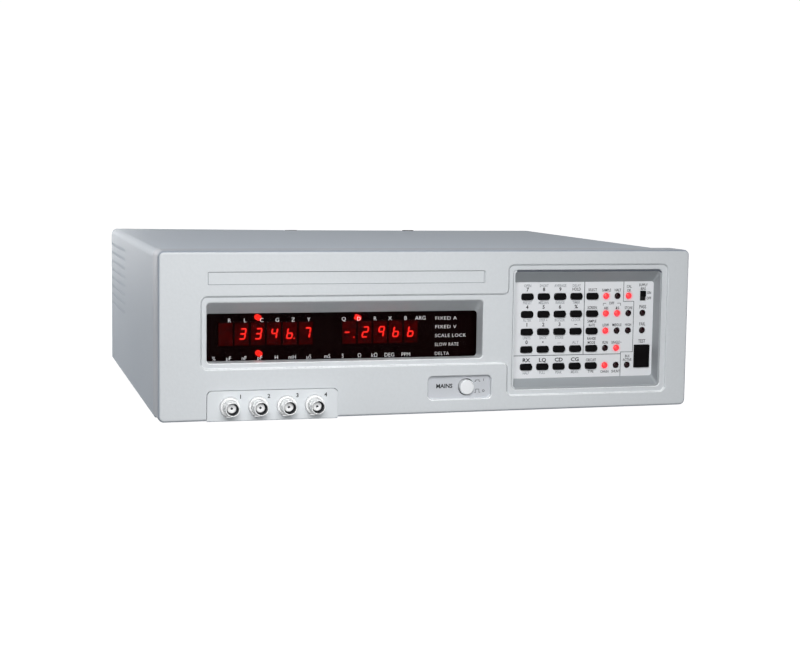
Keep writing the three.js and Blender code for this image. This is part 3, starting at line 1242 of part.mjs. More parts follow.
// A wire of even thickness along a flat path of points, mitred at each of them.
function sweptWire(points, radius) {
  const up = new THREE.Vector3(0, 0, 1);
  const positions = [];
  points.forEach((point, i) => {
    const before = points[Math.max(i - 1, 0)];
    const after = points[Math.min(i + 1, points.length - 1)];
    const into = point.clone().sub(before).normalize();
    const out = after.clone().sub(point).normalize();
    const along = into.add(out).normalize();
    const side = along.clone().cross(up);
    const spread = 1 / Math.max(side.dot(out.lengthSq() ? out.clone().cross(up) : side), Math.SQRT1_2);
    for (let k = 0; k < WIRE_COUNT; k += 1) {
      const angle = (k * 2 * Math.PI) / WIRE_COUNT;
      const across = radius * spread * Math.cos(angle);
      const rise = radius * Math.sin(angle);
      positions.push(point.x + side.x * across, point.y + side.y * across, point.z + rise);
    }
  });
  const faces = [];
  const last = (points.length - 1) * WIRE_COUNT;
  for (let i = 0; i < last; i += WIRE_COUNT) {
    for (let k = 0; k < WIRE_COUNT; k += 1) {
      const next = (k + 1) % WIRE_COUNT;
      const ahead = i + WIRE_COUNT;
      faces.push(i + k, ahead + next, i + next, i + k, ahead + k, ahead + next);
    }
  }
  for (let k = 1; k < WIRE_COUNT - 1; k += 1) {
    faces.push(0, k, k + 1);
    faces.push(last, last + k + 1, last + k);
  }
  const geometry = new THREE.BufferGeometry();
  geometry.setAttribute('position', new THREE.Float32BufferAttribute(positions, 3));
  geometry.setIndex(faces);
  geometry.computeVertexNormals();
  return geometry;
}

place('front_bezel', toGeometry(frontBezel()), FINISHES.bezel);
place('keypad_surround', toGeometry(keypadSurround()), FINISHES.surround);
place('keypad_overlay', toGeometry(keypadOverlay()), FINISHES.overlay);
place('keypad_board', toGeometry(keypadBoard()), FINISHES.board);
place('bias_switch_knob', toGeometry(biasSwitchKnob()), FINISHES.black);
place('display_window', toGeometry(displayWindow()), FINISHES.window);
place('display_board', toGeometry(displayBoard()), FINISHES.board);
place('power_button', toGeometry(powerButton()), FINISHES.button);
place('power_switch', toGeometry(powerSwitch()), FINISHES.black);
place('connector_plate', toGeometry(connectorPlate()), FINISHES.plate);
place('bnc_insulator', toGeometry(bncInsulator()), FINISHES.insulator);
place('top_cover', toGeometry(topCover()), FINISHES.cover);
place('bottom_pan', toGeometry(bottomPan()), FINISHES.cover);
place('rear_panel', toGeometry(rearPanel()), FINISHES.cover);
place('power_inlet', toGeometry(powerInlet()), FINISHES.black);
place('fuse_drawer', toGeometry(fuseDrawer()), FINISHES.black);
place('voltage_selector', toGeometry(voltageSelector()), FINISHES.steel);
place('selector_slider', toGeometry(selectorSlider()), FINISHES.black);
place('main_board', toGeometry(mainBoard()), FINISHES.board);
place('power_transformer', toGeometry(powerTransformer()), FINISHES.iron);
place('heat_sink', toGeometry(heatSink()), FINISHES.aluminium);
place('tilt_bail', tiltBail(), FINISHES.steel);

const displayMiddle = (DISPLAY_BACK_RECTANGLE[0] + DISPLAY_BACK_RECTANGLE[1]) / 2;
const displayRibbonY = depthToY(DISPLAY_BOARD_FRONT + BOARD_THICKNESS + FIT);
place(
  'display_ribbon',
  toGeometry(ribbon(displayMiddle, RIBBON_WIDTH, displayRibbonY, DISPLAY_BACK_RECTANGLE[2])),
  FINISHES.ribbon,
);
const keypadRibbonY = depthToY(KEYPAD_BOARD_FRONT + BOARD_THICKNESS + FIT);
const keypadRibbonX = SURROUND_FLOOR[0] - KEYPAD_BOARD_MARGIN + FIT + KEYPAD_RIBBON_WIDTH / 2;
place(
  'keypad_ribbon',
  toGeometry(ribbon(keypadRibbonX, KEYPAD_RIBBON_WIDTH, keypadRibbonY, SURROUND_FLOOR[2] + SWITCH_SIZE)),
  FINISHES.ribbon,
);

const panelY = depthToY(KEYPAD_DEPTH);
const keyShape = keyGeometry(KEY_WIDTH, KEY_HEIGHT, KEY_CORNER, KEY_TRAVEL, KEY_PROUD);
KEY_SITES.forEach(([x, z], i) => {
  const row = Math.floor(i / KEY_COLUMN_COUNT) + 1;
  const column = (i % KEY_COLUMN_COUNT) + 1;
  place(`key_row${row}_col${column}`, keyShape, FINISHES.keys, x, panelY, z);
});
const startShape = keyGeometry(START_WIDTH, START_HEIGHT, KEY_EDGE * 2, START_TRAVEL, KEY_PROUD);
place('start_key', startShape, FINISHES.keys, STATUS_X, panelY, START_Z);

const jackShape = jackGeometry();
for (let i = 0; i < JACK_COUNT; i += 1) {
  place(`bnc_jack_${i + 1}`, jackShape, FINISHES.nickel, jackX(i), depthToY(-FRONT_REACH), JACK_Z);
}

const frontFootY = depthToY(FRONT_FOOT_FROM_FACE);
const rearFootY = REAR_Y - REAR_FOOT_FROM_REAR;
place('front_left_foot', foot(true), FINISHES.rubber, -FOOT_X, frontFootY, 0);
place('front_right_foot', foot(true), FINISHES.rubber, FOOT_X, frontFootY, 0);
place('rear_left_foot', foot(false), FINISHES.rubber, -FOOT_X, rearFootY, 0);
place('rear_right_foot', foot(false), FINISHES.rubber, FOOT_X, rearFootY, 0);
const bumperX = COVER_SIDE - BUMPER_FROM_SIDE;
place('rear_left_bumper', rearBumper(), FINISHES.rubber, -bumperX, 0, 0);
place('rear_right_bumper', rearBumper(), FINISHES.rubber, bumperX, 0, 0);

export default instrument;
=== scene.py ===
# %% [markdown]
# A bench LCR meter, an instrument that measures coils, capacitors and resistors. Its solids arrive as a
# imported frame, which stays as it is. This script gives the frame its looks: finer shells over the
# plain ones, new keys, lamps, digits and print, and a finish for every surface.

# %% Load the frame
import math
from contextlib import contextmanager

import bmesh
import bpy
from mathutils import Matrix, Vector


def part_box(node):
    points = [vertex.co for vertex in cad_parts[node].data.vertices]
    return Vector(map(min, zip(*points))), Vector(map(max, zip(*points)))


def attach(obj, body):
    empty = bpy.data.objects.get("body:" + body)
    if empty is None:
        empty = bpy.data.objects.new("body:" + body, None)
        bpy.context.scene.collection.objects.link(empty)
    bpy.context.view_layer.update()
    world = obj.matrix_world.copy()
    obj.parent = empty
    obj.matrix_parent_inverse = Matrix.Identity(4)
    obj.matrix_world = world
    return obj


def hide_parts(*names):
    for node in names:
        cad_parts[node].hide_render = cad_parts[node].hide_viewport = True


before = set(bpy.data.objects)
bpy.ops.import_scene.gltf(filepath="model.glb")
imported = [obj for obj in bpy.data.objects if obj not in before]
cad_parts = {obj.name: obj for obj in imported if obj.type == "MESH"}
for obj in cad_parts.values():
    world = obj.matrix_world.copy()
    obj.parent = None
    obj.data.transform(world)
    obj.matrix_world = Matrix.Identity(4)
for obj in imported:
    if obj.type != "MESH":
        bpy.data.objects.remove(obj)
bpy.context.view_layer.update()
MM = 0.001
TURN = 2 * math.pi

# %% [markdown]
# The photo was taken from a little left of the instrument and just above it, with a long lens. A camera
# fitted to ten of its corners gives the place, the three angles and the focal length below. A pinhole
# view like this has no blur, so depth of field stays off.

# %% Camera
VIEW_FROM = Vector((-317.1, -1196.3, 175.0)) * MM
VIEW_YAW, VIEW_PITCH, VIEW_ROLL = (math.radians(angle) for angle in (15.732, 5.923, 0.793))
FOCAL_LENGTH = 72.3

bpy.ops.object.camera_add()
camera = bpy.context.object
camera.name = "photo_view"
camera.data.lens = FOCAL_LENGTH
upright = Matrix.Rotation(math.pi / 2 - VIEW_PITCH, 4, "X") @ Matrix.Rotation(VIEW_ROLL, 4, "Z")
camera.matrix_world = Matrix.Translation(VIEW_FROM) @ Matrix.Rotation(-VIEW_YAW, 4, "Z") @ upright
bpy.context.scene.camera = camera
print("camera:", FOCAL_LENGTH, "mm lens")

# %% [markdown]
# The photo is a studio shot, cut out on white. A soft lamp near the camera lights the front from above:
# lower lips shine, upper ones are in shade, and the right end falls off. A weaker one fills the left side.
# Two more stand low behind it and at its right, for views from there. The photo's view sees none of them.

# %% Room and lamps
ROOM_COLOUR, ROOM_LIGHT = (0.9, 0.95, 1.0, 1), 0.11
FRONT_SPREAD = 110
LAMP_PANELS = {
    "front_panel": {"place": (-0.14, -0.85, 0.38), "aim": (-0.03, -0.16, -0.05), "size": 0.5, "power": 2.45},
    "left_panel": {"place": (-0.72, 0.42, 0.42), "aim": (-0.187, 0.05, 0.06), "size": 0.4, "power": 1.38},
    "rear_panel_lamp": {"place": (-0.29, 1.25, 0.14), "aim": (0, 0.16, 0.06), "size": 0.5, "power": 3.2},
    "right_panel": {"place": (1.15, 0.25, 0.12), "aim": (0.187, 0, 0.06), "size": 0.5, "power": 3.2},
}
UNSEEN_PANELS = ("rear_panel_lamp", "right_panel")


def set_sockets(node, values):
    """Sets sockets of a node to fixed values."""
    for socket, value in values.items():
        node.inputs[socket].default_value = value


def shader_of(finish):
    """The node of a finish that says how light meets its surface."""
    return finish.node_tree.nodes["Principled BSDF"]


def lamp_panel(name, place, aim, size, power):
    """A square panel of soft light at a place, turned to a point."""
    turned = (Vector(aim) - Vector(place)).to_track_quat("-Z", "Y").to_euler()
    bpy.ops.object.light_add(type="AREA", location=place, rotation=turned)
    panel = bpy.context.object
    panel.name = name
    panel.data.size = size
    panel.data.energy = power
    return panel


bpy.context.scene.view_settings.view_transform = "Standard"
world = bpy.data.worlds.new("pale_room")
world.use_nodes = True
set_sockets(world.node_tree.nodes["Background"], {"Color": ROOM_COLOUR, "Strength": ROOM_LIGHT})
bpy.context.scene.world = world
for name, settings in LAMP_PANELS.items():
    lamp_panel(name, **settings).visible_camera = name not in UNSEEN_PANELS
bpy.data.objects["front_panel"].data.spread = math.radians(FRONT_SPREAD)
print("light: room", ROOM_LIGHT, "and", len(LAMP_PANELS), "panels")

# %% [markdown]
# The ground of a cut-out is plain white. A floor and a wall far behind it make one here, with a paper that
# glows just under full white. Such a ground would light the instrument from below, which the photo doesn't
# show, so both are left out of the light that bounces about.

# %% Floor and wall
WHITE = (1, 1, 1, 1)
PAPER_GREY, PAPER_ROUGHNESS, PAPER_GLOW = (0.2, 0.2, 0.2, 1), 0.9, 0.99
FLOOR_SIZE = 60
WALL_SUNK = 0.1

bpy.ops.mesh.primitive_plane_add(size=FLOOR_SIZE)
floor = bpy.context.object
floor.name = "pale_floor"
bpy.ops.mesh.primitive_plane_add(
    size=FLOOR_SIZE, location=(0, FLOOR_SIZE / 2, FLOOR_SIZE / 2 - WALL_SUNK), rotation=(math.pi / 2, 0, 0))
wall = bpy.context.object
wall.name = "pale_wall"
paper = bpy.data.materials.new("floor_paper")
paper.use_nodes = True
set_sockets(shader_of(paper), {"Base Color": PAPER_GREY, "Roughness": PAPER_ROUGHNESS,
                               "Emission Color": WHITE, "Emission Strength": PAPER_GLOW})
for sheet in (floor, wall):
    sheet.data.materials.append(paper)
    sheet.visible_diffuse = False
print("floor and wall:", FLOOR_SIZE, "m wide")

# %% [markdown]
# Every finish starts from the same few nodes. Object coordinates are metres in the instrument's own
# frame, so a grain given in millimetres keeps its size on every piece. A fine noise makes the relief,
# and a slow one changes tone and gloss a little, as moulded plastic and paint do.

# %% Helpers for nodes
def tone(red, green, blue):
    """A colour read from a screen, 0 to 255, as the light values that a shader takes."""
    return tuple((part / 255) ** 2.2 for part in (red, green, blue))


def add_node(finish, kind, inputs=(), **options):
    """Adds a node to a finish. Each input is a number, a colour or another node's output."""
    node = finish.node_tree.nodes.new("ShaderNode" + kind)
    for option, value in options.items():
        setattr(node, option, value)
    for socket, value in dict(inputs).items():
        if isinstance(value, bpy.types.NodeSocket):
            finish.node_tree.links.new(value, node.inputs[socket])
        else:
            node.inputs[socket].default_value = value
    return node


def feed(finish, socket, output):
    """Links an output to a socket of the finish's shader."""
    finish.node_tree.links.new(output, shader_of(finish).inputs[socket])


def noise(finish, scale, detail):
    """Noise on object coordinates. The scale says how many of its grains go into a metre."""
    place = add_node(finish, "TexCoord").outputs["Object"]
    return add_node(finish, "TexNoise", {"Vector": place, "Scale": scale, "Detail": detail}).outputs[0]


def spread_out(finish, value, low, high, **others):
    """A value stretched so that low becomes 0 and high becomes 1."""
    sockets = {"Value": value, "From Min": low, "From Max": high, **others}
    return add_node(finish, "MapRange", sockets).outputs[0]


def embossed(finish, heights, relief):
    """Relief on the whole surface from heights of 0 to 1, its depth in mm."""
    bump = {"Height": heights, "Distance": relief * MM, "Strength": 1.0}
    feed(finish, "Normal", add_node(finish, "Bump", bump).outputs[0])


def blend_colours(finish, factor, first, second):
    """A mix of two colours by a factor from 0 to 1."""
    sockets = {0: factor, 6: first, 7: second}
    sockets = {key: (*value, 1) if isinstance(value, tuple) else value for key, value in sockets.items()}
    return add_node(finish, "Mix", sockets, data_type="RGBA").outputs[2]


def scaled(colour, share):
    """A colour made lighter or darker by a share."""
    return tuple(part * share for part in colour)


print("nodes: helpers ready")

# %% Helper for finishes
FINISHES = {}
FINE_DETAIL, SLOW_SCALE, SLOW_DETAIL = 3.0, 14.0, 4.0
GLOSS_CHANGE = 0.06


def textured(name, colour, roughness, grain, relief, spread=0.03, metallic=0.0, specular=0.5):
    """A finish with fine relief of a given grain and height in mm, and slow changes of tone and gloss."""
    finish = bpy.data.materials.new(name)
    finish.use_nodes = True
    set_sockets(shader_of(finish), {"Metallic": metallic, "Specular IOR Level": specular})
    fine = noise(finish, 1 / (grain * MM), FINE_DETAIL)
    slow = noise(finish, SLOW_SCALE, SLOW_DETAIL)
    both = add_node(finish, "Math", {0: fine, 1: slow}, operation="ADD").outputs[0]
    half = add_node(finish, "Math", {0: both, 1: 0.5}, operation="MULTIPLY").outputs[0]
    darker, lighter = scaled(colour, 1 - spread), scaled(colour, 1 + spread)
    feed(finish, "Base Color", blend_colours(finish, half, darker, lighter))
    gloss = {"Value": half, "To Min": roughness - GLOSS_CHANGE, "To Max": roughness + GLOSS_CHANGE}
    feed(finish, "Roughness", add_node(finish, "MapRange", gloss).outputs[0])
    embossed(finish, fine, relief)
    FINISHES[name] = finish
    return finish


print("finishes: helper ready")

# %% [markdown]
# The front is light-grey moulded plastic with a fine spark texture. The cover and the rear are steel
# with a blue-grey paint that dries to a slightly pebbled skin. The keypad's lining is a darker grey
# plastic, and the printed panels are satin film. The front's rims and recess floor and the lining's top edge
# get painted shade, and upward lips a painted highlight. The jacks' white plastic gets a faint painted glow
# that lightens its shaded sides.

# %% Plastics and paints
INSULATOR_PAINTED_GLOW = 0.08

textured("bezel_plastic", tone(212, 216, 219), 0.33, 2.0, 0.07, spread=0.07)
# A painted highlight for lips that look up.
textured("lip_painted_highlight", tone(246, 249, 251), 0.28, 2.0, 0.05)
# Painted shade for the floor of the button's recess.
textured("recess_painted_shade", tone(196, 199, 204), 0.4, 1.6, 0.05)
# Painted shade for the front's rounded rim and the jack plate's underside.
textured("rim_painted_shade", tone(163, 171, 183), 0.45, 1.6, 0.06)
# Painted shade for the top side of the keypad lining's rim.
textured("surround_painted_shade", tone(74, 79, 88), 0.5, 1.6, 0.06)
textured("cover_paint", tone(178, 190, 204), 0.5, 1.6, 0.07, spread=0.05)
textured("surround_plastic", tone(164, 169, 173), 0.6, 0.5, 0.01)
textured("overlay_sheet", tone(227, 229, 232), 0.5, 0.4, 0.002, spread=0.01)
textured("plate_metal", tone(219, 223, 226), 0.42, 0.5, 0.004, spread=0.02)
textured("key_plastic", tone(8, 6, 9), 0.42, 0.2, 0.006, spread=0.3, specular=0.08)
textured("black_plastic", tone(24, 25, 27), 0.5, 0.3, 0.01, spread=0.15)
textured("button_plastic", tone(240, 242, 244), 0.32, 0.4, 0.002, spread=0.01)
# The white plastic gives off a faint painted glow, which lightens its shaded sides.
insulator = textured("white_insulator", tone(252, 253, 253), 0.35, 0.4, 0.003, spread=0.01)
set_sockets(shader_of(insulator), {"Emission Color": WHITE, "Emission Strength": INSULATOR_PAINTED_GLOW})
# A pale tone near the paint's for the strips in the side slots: painted light over their shade.
textured("slot_fill_painted_light", tone(176, 188, 202), 0.6, 0.5, 0.02)
textured("foot_rubber", tone(34, 35, 38), 0.8, 0.4, 0.03, spread=0.2)
print("plastics and paints:", len(FINISHES))

# %% [markdown]
# Bare metals are told apart by their gloss more than by their colour. Plated brass is smooth, and its
# near-white, barely metallic tone is partly painted reflection; inside a jack's bore it gets painted shade.
# The wire and the switch are duller steel. The heat sink shows the lines that the extrusion left along it, so
# its noise is stretched on one axis.

# %% Metals
SINK_LINE, SINK_PITCH, SINK_RELIEF = 20, 3000, 0.02

# Plating whose near-white, barely metallic tone is partly painted reflection.
textured("barrel_plate_and_reflection", tone(250, 251, 251), 0.3, 0.6, 0.001, metallic=0.1)
# Painted shade for the inside of a jack's bore and its contact.
textured("bore_painted_shade", tone(74, 76, 80), 0.45, 0.6, 0.001, metallic=0.5)
textured("bail_steel", tone(176, 178, 180), 0.34, 0.5, 0.003, metallic=1.0)
textured("switch_steel", tone(160, 162, 164), 0.4, 0.5, 0.003, metallic=1.0)


def drawn_lines(finish, along, across, relief):
    """Adds relief in lines: noise that is long on one axis and short on the others."""
    place = add_node(finish, "TexCoord").outputs["Object"]
    stretch = add_node(finish, "Mapping", {"Vector": place, "Scale": (across, across, along)}).outputs[0]
    lines = add_node(finish, "TexNoise", {"Vector": stretch, "Scale": 1.0, "Detail": 2.0}).outputs[0]
    embossed(finish, lines, relief)


sink = textured("sink_aluminium", tone(178, 181, 184), 0.38, 0.5, 0.003, metallic=1.0)
drawn_lines(sink, SINK_LINE, SINK_PITCH, SINK_RELIEF)
print("with metals:", len(FINISHES))

# %% [markdown]
# The red window is dark acrylic. It lets a third of the light behind it through and mirrors very
# little, so the digits stand on near black. Light that passes a tinted sheet is dearer to compute than
# light that passes a half-open one, so its opacity does the work and the glow behind is made stronger. A
# lit lamp glows all over, with a painted highlight on its side toward the upper left front, and ink is matt
# and plain.

# %% Window and glow
WINDOW_OPACITY = 0.4
SPOT_SCALE, SPOT_DETAIL = 260.0, 2.0
SPOT_DARK, SPOT_BRIGHT = 0.7, 1.25
# The side of a lit lamp that faces up, left and forward gets a painted highlight in a hotter colour.
LAMP_HIGHLIGHT_SIDE = (-0.35, -0.84, 0.42)
HIGHLIGHT_START, HIGHLIGHT_END = 0.45, 1.0
LAMP_EDGE, LAMP_HIGHLIGHT = (0.8, 0.012, 0.04), (1.0, 0.075, 0.06)


def glowing(name, colour, light, strength, roughness=0.3):
    """A finish that gives off light of its own, a little stronger in some spots than in others."""
    finish = textured(name, colour, roughness, 0.8, 0.001)
    spots = noise(finish, SPOT_SCALE, SPOT_DETAIL)
    dim, bright = scaled(light, SPOT_DARK), scaled(light, SPOT_BRIGHT)
    feed(finish, "Emission Color", blend_colours(finish, spots, dim, bright))
    set_sockets(shader_of(finish), {"Emission Strength": strength})
    return finish


window_red = textured("red_window", tone(16, 2, 3), 0.1, 2.0, 0.001, spread=0.1, specular=0.03)
set_sockets(shader_of(window_red), {"Alpha": WINDOW_OPACITY})
glowing("digit_red", tone(120, 4, 4), (1.0, 0.02, 0.012), 3.2)
lit = glowing("lamp_lit", tone(200, 20, 40), (1.0, 0.055, 0.06), 0.9)
# A painted highlight: the glow's colour turns hotter where the dome faces the highlight's side.
directions = {0: add_node(lit, "TexCoord").outputs["Normal"], 1: LAMP_HIGHLIGHT_SIDE}
toward = add_node(lit, "VectorMath", directions, operation="DOT_PRODUCT").outputs["Value"]
heat = spread_out(lit, toward, HIGHLIGHT_START, HIGHLIGHT_END)
feed(lit, "Emission Color", blend_colours(lit, heat, LAMP_EDGE, LAMP_HIGHLIGHT))
textured("lamp_dark", tone(35, 8, 16), 0.12, 1.0, 0.001, specular=0.15)
INKS = {"dark": (20, 22, 28), "grey": (84, 89, 94), "pale": (148, 152, 157), "white": (246, 246, 248)}
for shade, colour in INKS.items():
    textured("ink_" + shade, tone(*colour), 0.6, 0.2, 0.001)
print("window lets", round(1 - WINDOW_OPACITY, 2), "through each face")

# %% [markdown]
# Digit packages are red plastic with dark bars behind, and look mottled where they leak light. Their
# pattern is a second noise, stretched until its hills become patches with soft borders.

# %% Digit package finish
PATCH_SCALE, PATCH_DETAIL = 330.0, 4.0
PATCH_LOW, PATCH_HIGH = 0.35, 0.75
LEAK_WEAK, LEAK_STRONG = (0.02, 0.0, 0.0), (0.16, 0.0, 0.0)

package_red = textured("digit_package", tone(48, 0, 0), 0.5, 0.5, 0.002, spread=0.3, specular=0.05)
patches = spread_out(package_red, noise(package_red, PATCH_SCALE, PATCH_DETAIL), PATCH_LOW, PATCH_HIGH)
feed(package_red, "Emission Color", blend_colours(package_red, patches, LEAK_WEAK, LEAK_STRONG))
set_sockets(shader_of(package_red), {"Emission Strength": 1.0})
print("digit package: patches of", round(1 / PATCH_SCALE / MM, 1), "mm")

# %% [markdown]
# Inside, the boards are green with copper tracks under the lacquer, the transformer's core is stacked
# iron sheets, and the flat cables are ribbed grey. Bands and cells do all three: a wave texture for the
# sheets and the ribs, and the borders of cells for the tracks. At scale 1, a wave texture runs through
# 20 radians in a metre, so the pitch of its bands follows from that.

# %% Inner finishes
RADIANS_PER_UNIT = 20
TRACK_UNEVENNESS = 0.35
TRACK_NEAR, TRACK_FAR = 0.05, 0.09


def banded(finish, axis, pitch, first, second, relief):
    """Straight bands across one axis, one pitch in mm apart, in colour and in relief."""
    place = add_node(finish, "TexCoord").outputs["Object"]
    wave = {"Vector": place, "Scale": TURN / (RADIANS_PER_UNIT * pitch * MM)}
    bands = add_node(finish, "TexWave", wave, wave_type="BANDS", bands_direction=axis).outputs["Fac"]
    feed(finish, "Base Color", blend_colours(finish, bands, first, second))
    embossed(finish, bands, relief)


def tracked(finish, pitch, lacquer, copper):
    """Board tracks: the borders of square cells, seen through green lacquer."""
    place = add_node(finish, "TexCoord").outputs["Object"]
    cells = {"Vector": place, "Scale": 1 / (pitch * MM), "Randomness": TRACK_UNEVENNESS}
    edges = add_node(finish, "TexVoronoi", cells, feature="DISTANCE_TO_EDGE").outputs["Distance"]
    between = spread_out(finish, edges, TRACK_NEAR, TRACK_FAR)
    feed(finish, "Base Color", blend_colours(finish, between, copper, lacquer))


textured("board_black", tone(30, 4, 6), 0.6, 0.6, 0.004, specular=0.05)
board_green = textured("circuit_board", tone(28, 84, 50), 0.38, 0.4, 0.004)
tracked(board_green, 3.2, tone(24, 78, 46), tone(56, 112, 66))
iron = textured("transformer_iron", tone(72, 74, 78), 0.5, 0.4, 0.01)
banded(iron, "Y", 0.5, tone(58, 60, 63), tone(92, 94, 98), 0.05)
ribbon = textured("ribbon_cable", tone(150, 153, 157), 0.5, 0.4, 0.01)
banded(ribbon, "X", 1.27, tone(128, 131, 135), tone(172, 175, 179), 0.25)
print("finishes in all:", len(FINISHES))

# %% [markdown]
# Pieces are shaped as by hand: a primitive or a copied shell is opened in edit mode, some faces or edges
# are picked by their place, and an operator works on them. These helpers keep those steps short. A
# direction's part on an axis is 1 along it and 0 across it: past ALONG it counts as along, and below
# ACROSS as across.

# %% Helpers for shaping
ALONG, ACROSS = 0.9, 0.3
FOLD_ANGLE, CURVE_ANGLE = 40, 32
NORMAL_WEIGHT = 80


def only(piece):
    """Selects one piece and nothing else."""
    bpy.ops.object.select_all(action="DESELECT")
    piece.select_set(True)
    bpy.context.view_layer.objects.active = piece


@contextmanager
def shaping(piece, kind="FACE"):
    """Opens a piece in edit mode with nothing selected, and closes it again."""
    only(piece)
    bpy.ops.object.mode_set(mode="EDIT")
    bpy.ops.mesh.select_mode(type=kind)
    bpy.ops.mesh.select_all(action="DESELECT")
    yield bmesh.from_edit_mesh(piece.data)
    bpy.ops.object.mode_set(mode="OBJECT")


def pick_folds(test):
    """Selects the edges that pass a test of their middle and whose faces meet at a sharp angle."""
    bpy.ops.mesh.select_all(action="DESELECT")
    mesh = bmesh.from_edit_mesh(bpy.context.object.data)
    for edge in mesh.edges:
        middle = (edge.verts[0].co + edge.verts[1].co) / 2
        if test(middle) and len(edge.link_faces) == 2 and edge.calc_face_angle() > math.radians(FOLD_ANGLE):
            edge.select_set(True)
    bmesh.update_edit_mesh(bpy.context.object.data)


def pick(parts, test):
    """Selects the faces or edges whose middle passes the test, and deselects the rest of them."""
    bpy.ops.mesh.select_all(action="DESELECT")
    mesh = bmesh.from_edit_mesh(bpy.context.object.data)
    chosen = mesh.faces if parts == "faces" else mesh.edges
    for part in chosen:
        middle = sum((corner.co for corner in part.verts), Vector()) / len(part.verts)
        facing = part.normal if parts == "faces" else part.verts[1].co - part.verts[0].co
        if test(middle, facing.normalized()):
            part.select_set(True)
    bmesh.update_edit_mesh(bpy.context.object.data)


def modified(piece, kind, **settings):
    """Adds a modifier, sets it and applies it."""
    only(piece)
    modifier = piece.modifiers.new(kind.lower(), kind)
    for setting, value in settings.items():
        setattr(modifier, setting, value)
    bpy.ops.object.modifier_apply(modifier=modifier.name)


def smoothed(piece, angle=CURVE_ANGLE):
    """Shades curved faces smooth and keeps flat ones flat."""
    only(piece)
    bpy.ops.object.shade_smooth_by_angle(angle=math.radians(angle))
    modified(piece, "WEIGHTED_NORMAL", keep_sharp=True, weight=NORMAL_WEIGHT)


print("shaping: helpers ready")

# %% Helpers for finished pieces
def settled(piece, name, finish, body="case", stands_for=()):
    """Names a finished piece, applies its place, and says its finish, its body and the solids it replaces."""
    only(piece)
    bpy.ops.object.transform_apply(location=True, rotation=True, scale=True)
    piece.name = piece.data.name = name
    if not piece.data.materials:
        piece.data.materials.append(FINISHES[finish])
    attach(piece, body)
    if stands_for:
        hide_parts(*stands_for)
    return piece


def coated(piece, finish, test):
    """Gives the faces of a settled piece that pass a test another finish."""
    piece.data.materials.append(FINISHES[finish])
    with shaping(piece):
        pick("faces", test)
        piece.active_material_index = len(piece.data.materials) - 1
        bpy.ops.object.material_slot_assign()


def copied(piece, shift):
    """A copy with its own mesh, moved by a shift."""
    only(piece)
    bpy.ops.object.duplicate()
    copy = bpy.context.object
    copy.location = shift
    return copy


def copies(piece, places):
    """A piece modelled at the origin, copied to each of the places. The piece itself goes to the last."""
    others = [copied(piece, place) for place in places[:-1]]
    piece.location = places[-1]
    return others + [piece]


def joined(pieces):
    """Several objects made one."""
    bpy.ops.object.select_all(action="DESELECT")
    for piece in pieces:
        piece.select_set(True)
    bpy.context.view_layer.objects.active = pieces[0]
    if len(pieces) > 1:
        bpy.ops.object.join()
    return bpy.context.object


def block(low, high, edge=0.0, segments=2):
    """A box between two corners, with its edges rounded by a width in mm."""
    bpy.ops.object.select_all(action="DESELECT")
    bpy.ops.mesh.primitive_cube_add(size=1, location=(low + high) / 2, scale=high - low)
    box = bpy.context.object
    bpy.ops.object.transform_apply(location=True, rotation=True, scale=True)
    if edge:
        with shaping(box):
            bpy.ops.mesh.select_all(action="SELECT")
            bpy.ops.mesh.bevel(offset=edge * MM, segments=segments, affect="EDGES")
    return box


def centred(centre, size, edge=0.0):
    """A block about a centre, its size in mm."""
    half = Vector(size) * MM / 2
    return block(centre - half, centre + half, edge)


def middle_of(node):
    """The middle of a solid."""
    low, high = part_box(node)
    return (low + high) / 2


print("pieces: helpers ready")

# %% [markdown]
# Positions on the front are given as on a drawing of it: across from the left edge, down from the top
# edge and in from the face, in millimetres.

# %% Places on the face
FACE_LOW, FACE_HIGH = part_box("front_bezel")


def on_face(across, down, depth=0.0):
    """A point on the drawing of the front as a point in the frame."""
    return Vector((FACE_LOW.x + across * MM, FACE_LOW.y + depth * MM, FACE_HIGH.z - down * MM))


print("face:", [round(side / MM, 1) for side in FACE_HIGH - FACE_LOW], "mm")

# %% [markdown]
# The big shells have the right shape already, but their edges are knife sharp, and real ones never are:
# a mould or a folding press leaves a small radius that catches the light. A copy is welded, its flat
# triangles are dissolved into whole faces, and a bevel rounds what is left sharp.

# %% Helper for softened shells
WELD, FLAT_ANGLE, SHARP_ANGLE = 0.002, 0.6, 35
LIP_SEGMENTS = 4


def softened(node, edge, segments=3, lips=()):
    """A welded copy of a solid with its sharp edges rounded by a width in mm, and its lips by their own."""
    piece = bpy.data.objects.new("copy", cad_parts[node].data.copy())
    bpy.context.scene.collection.objects.link(piece)
    piece.data.materials.clear()
    with shaping(piece):
        bpy.ops.mesh.select_all(action="SELECT")
        bpy.ops.mesh.remove_doubles(threshold=WELD * MM)
        bpy.ops.mesh.dissolve_limited(angle_limit=math.radians(FLAT_ANGLE))
        for test, width in lips:
            bpy.ops.mesh.select_mode(type="EDGE")
            pick_folds(test)
            bpy.ops.mesh.bevel(offset=width * MM, segments=LIP_SEGMENTS, affect="EDGES")
    modified(piece, "BEVEL", width=edge * MM, segments=segments, limit_method="ANGLE",
             angle_limit=math.radians(SHARP_ANGLE), use_clamp_overlap=True)
    smoothed(piece)
    return piece


print("softening ready")

# %% [markdown]
# The front shell has rounder lips than its other edges: where a bay sinks into the face, the mould turned
# a soft corner that shines below and is in shade above. Each kind of lip is picked by its place and gets
# its own bevel, before the general one. The walls of the plate's bay move in to a narrower gap.

# %% Zones of the front
LEVEL = 0.03
STRIP_ZONE = (26, 12, 236, 24)
RECESS_ZONE = (181, 84.5, 231, 103.5)
NOTCH_ZONE = (28, 90, 124, 112)
FACE_ZONE = (20, 8, 362, 104)


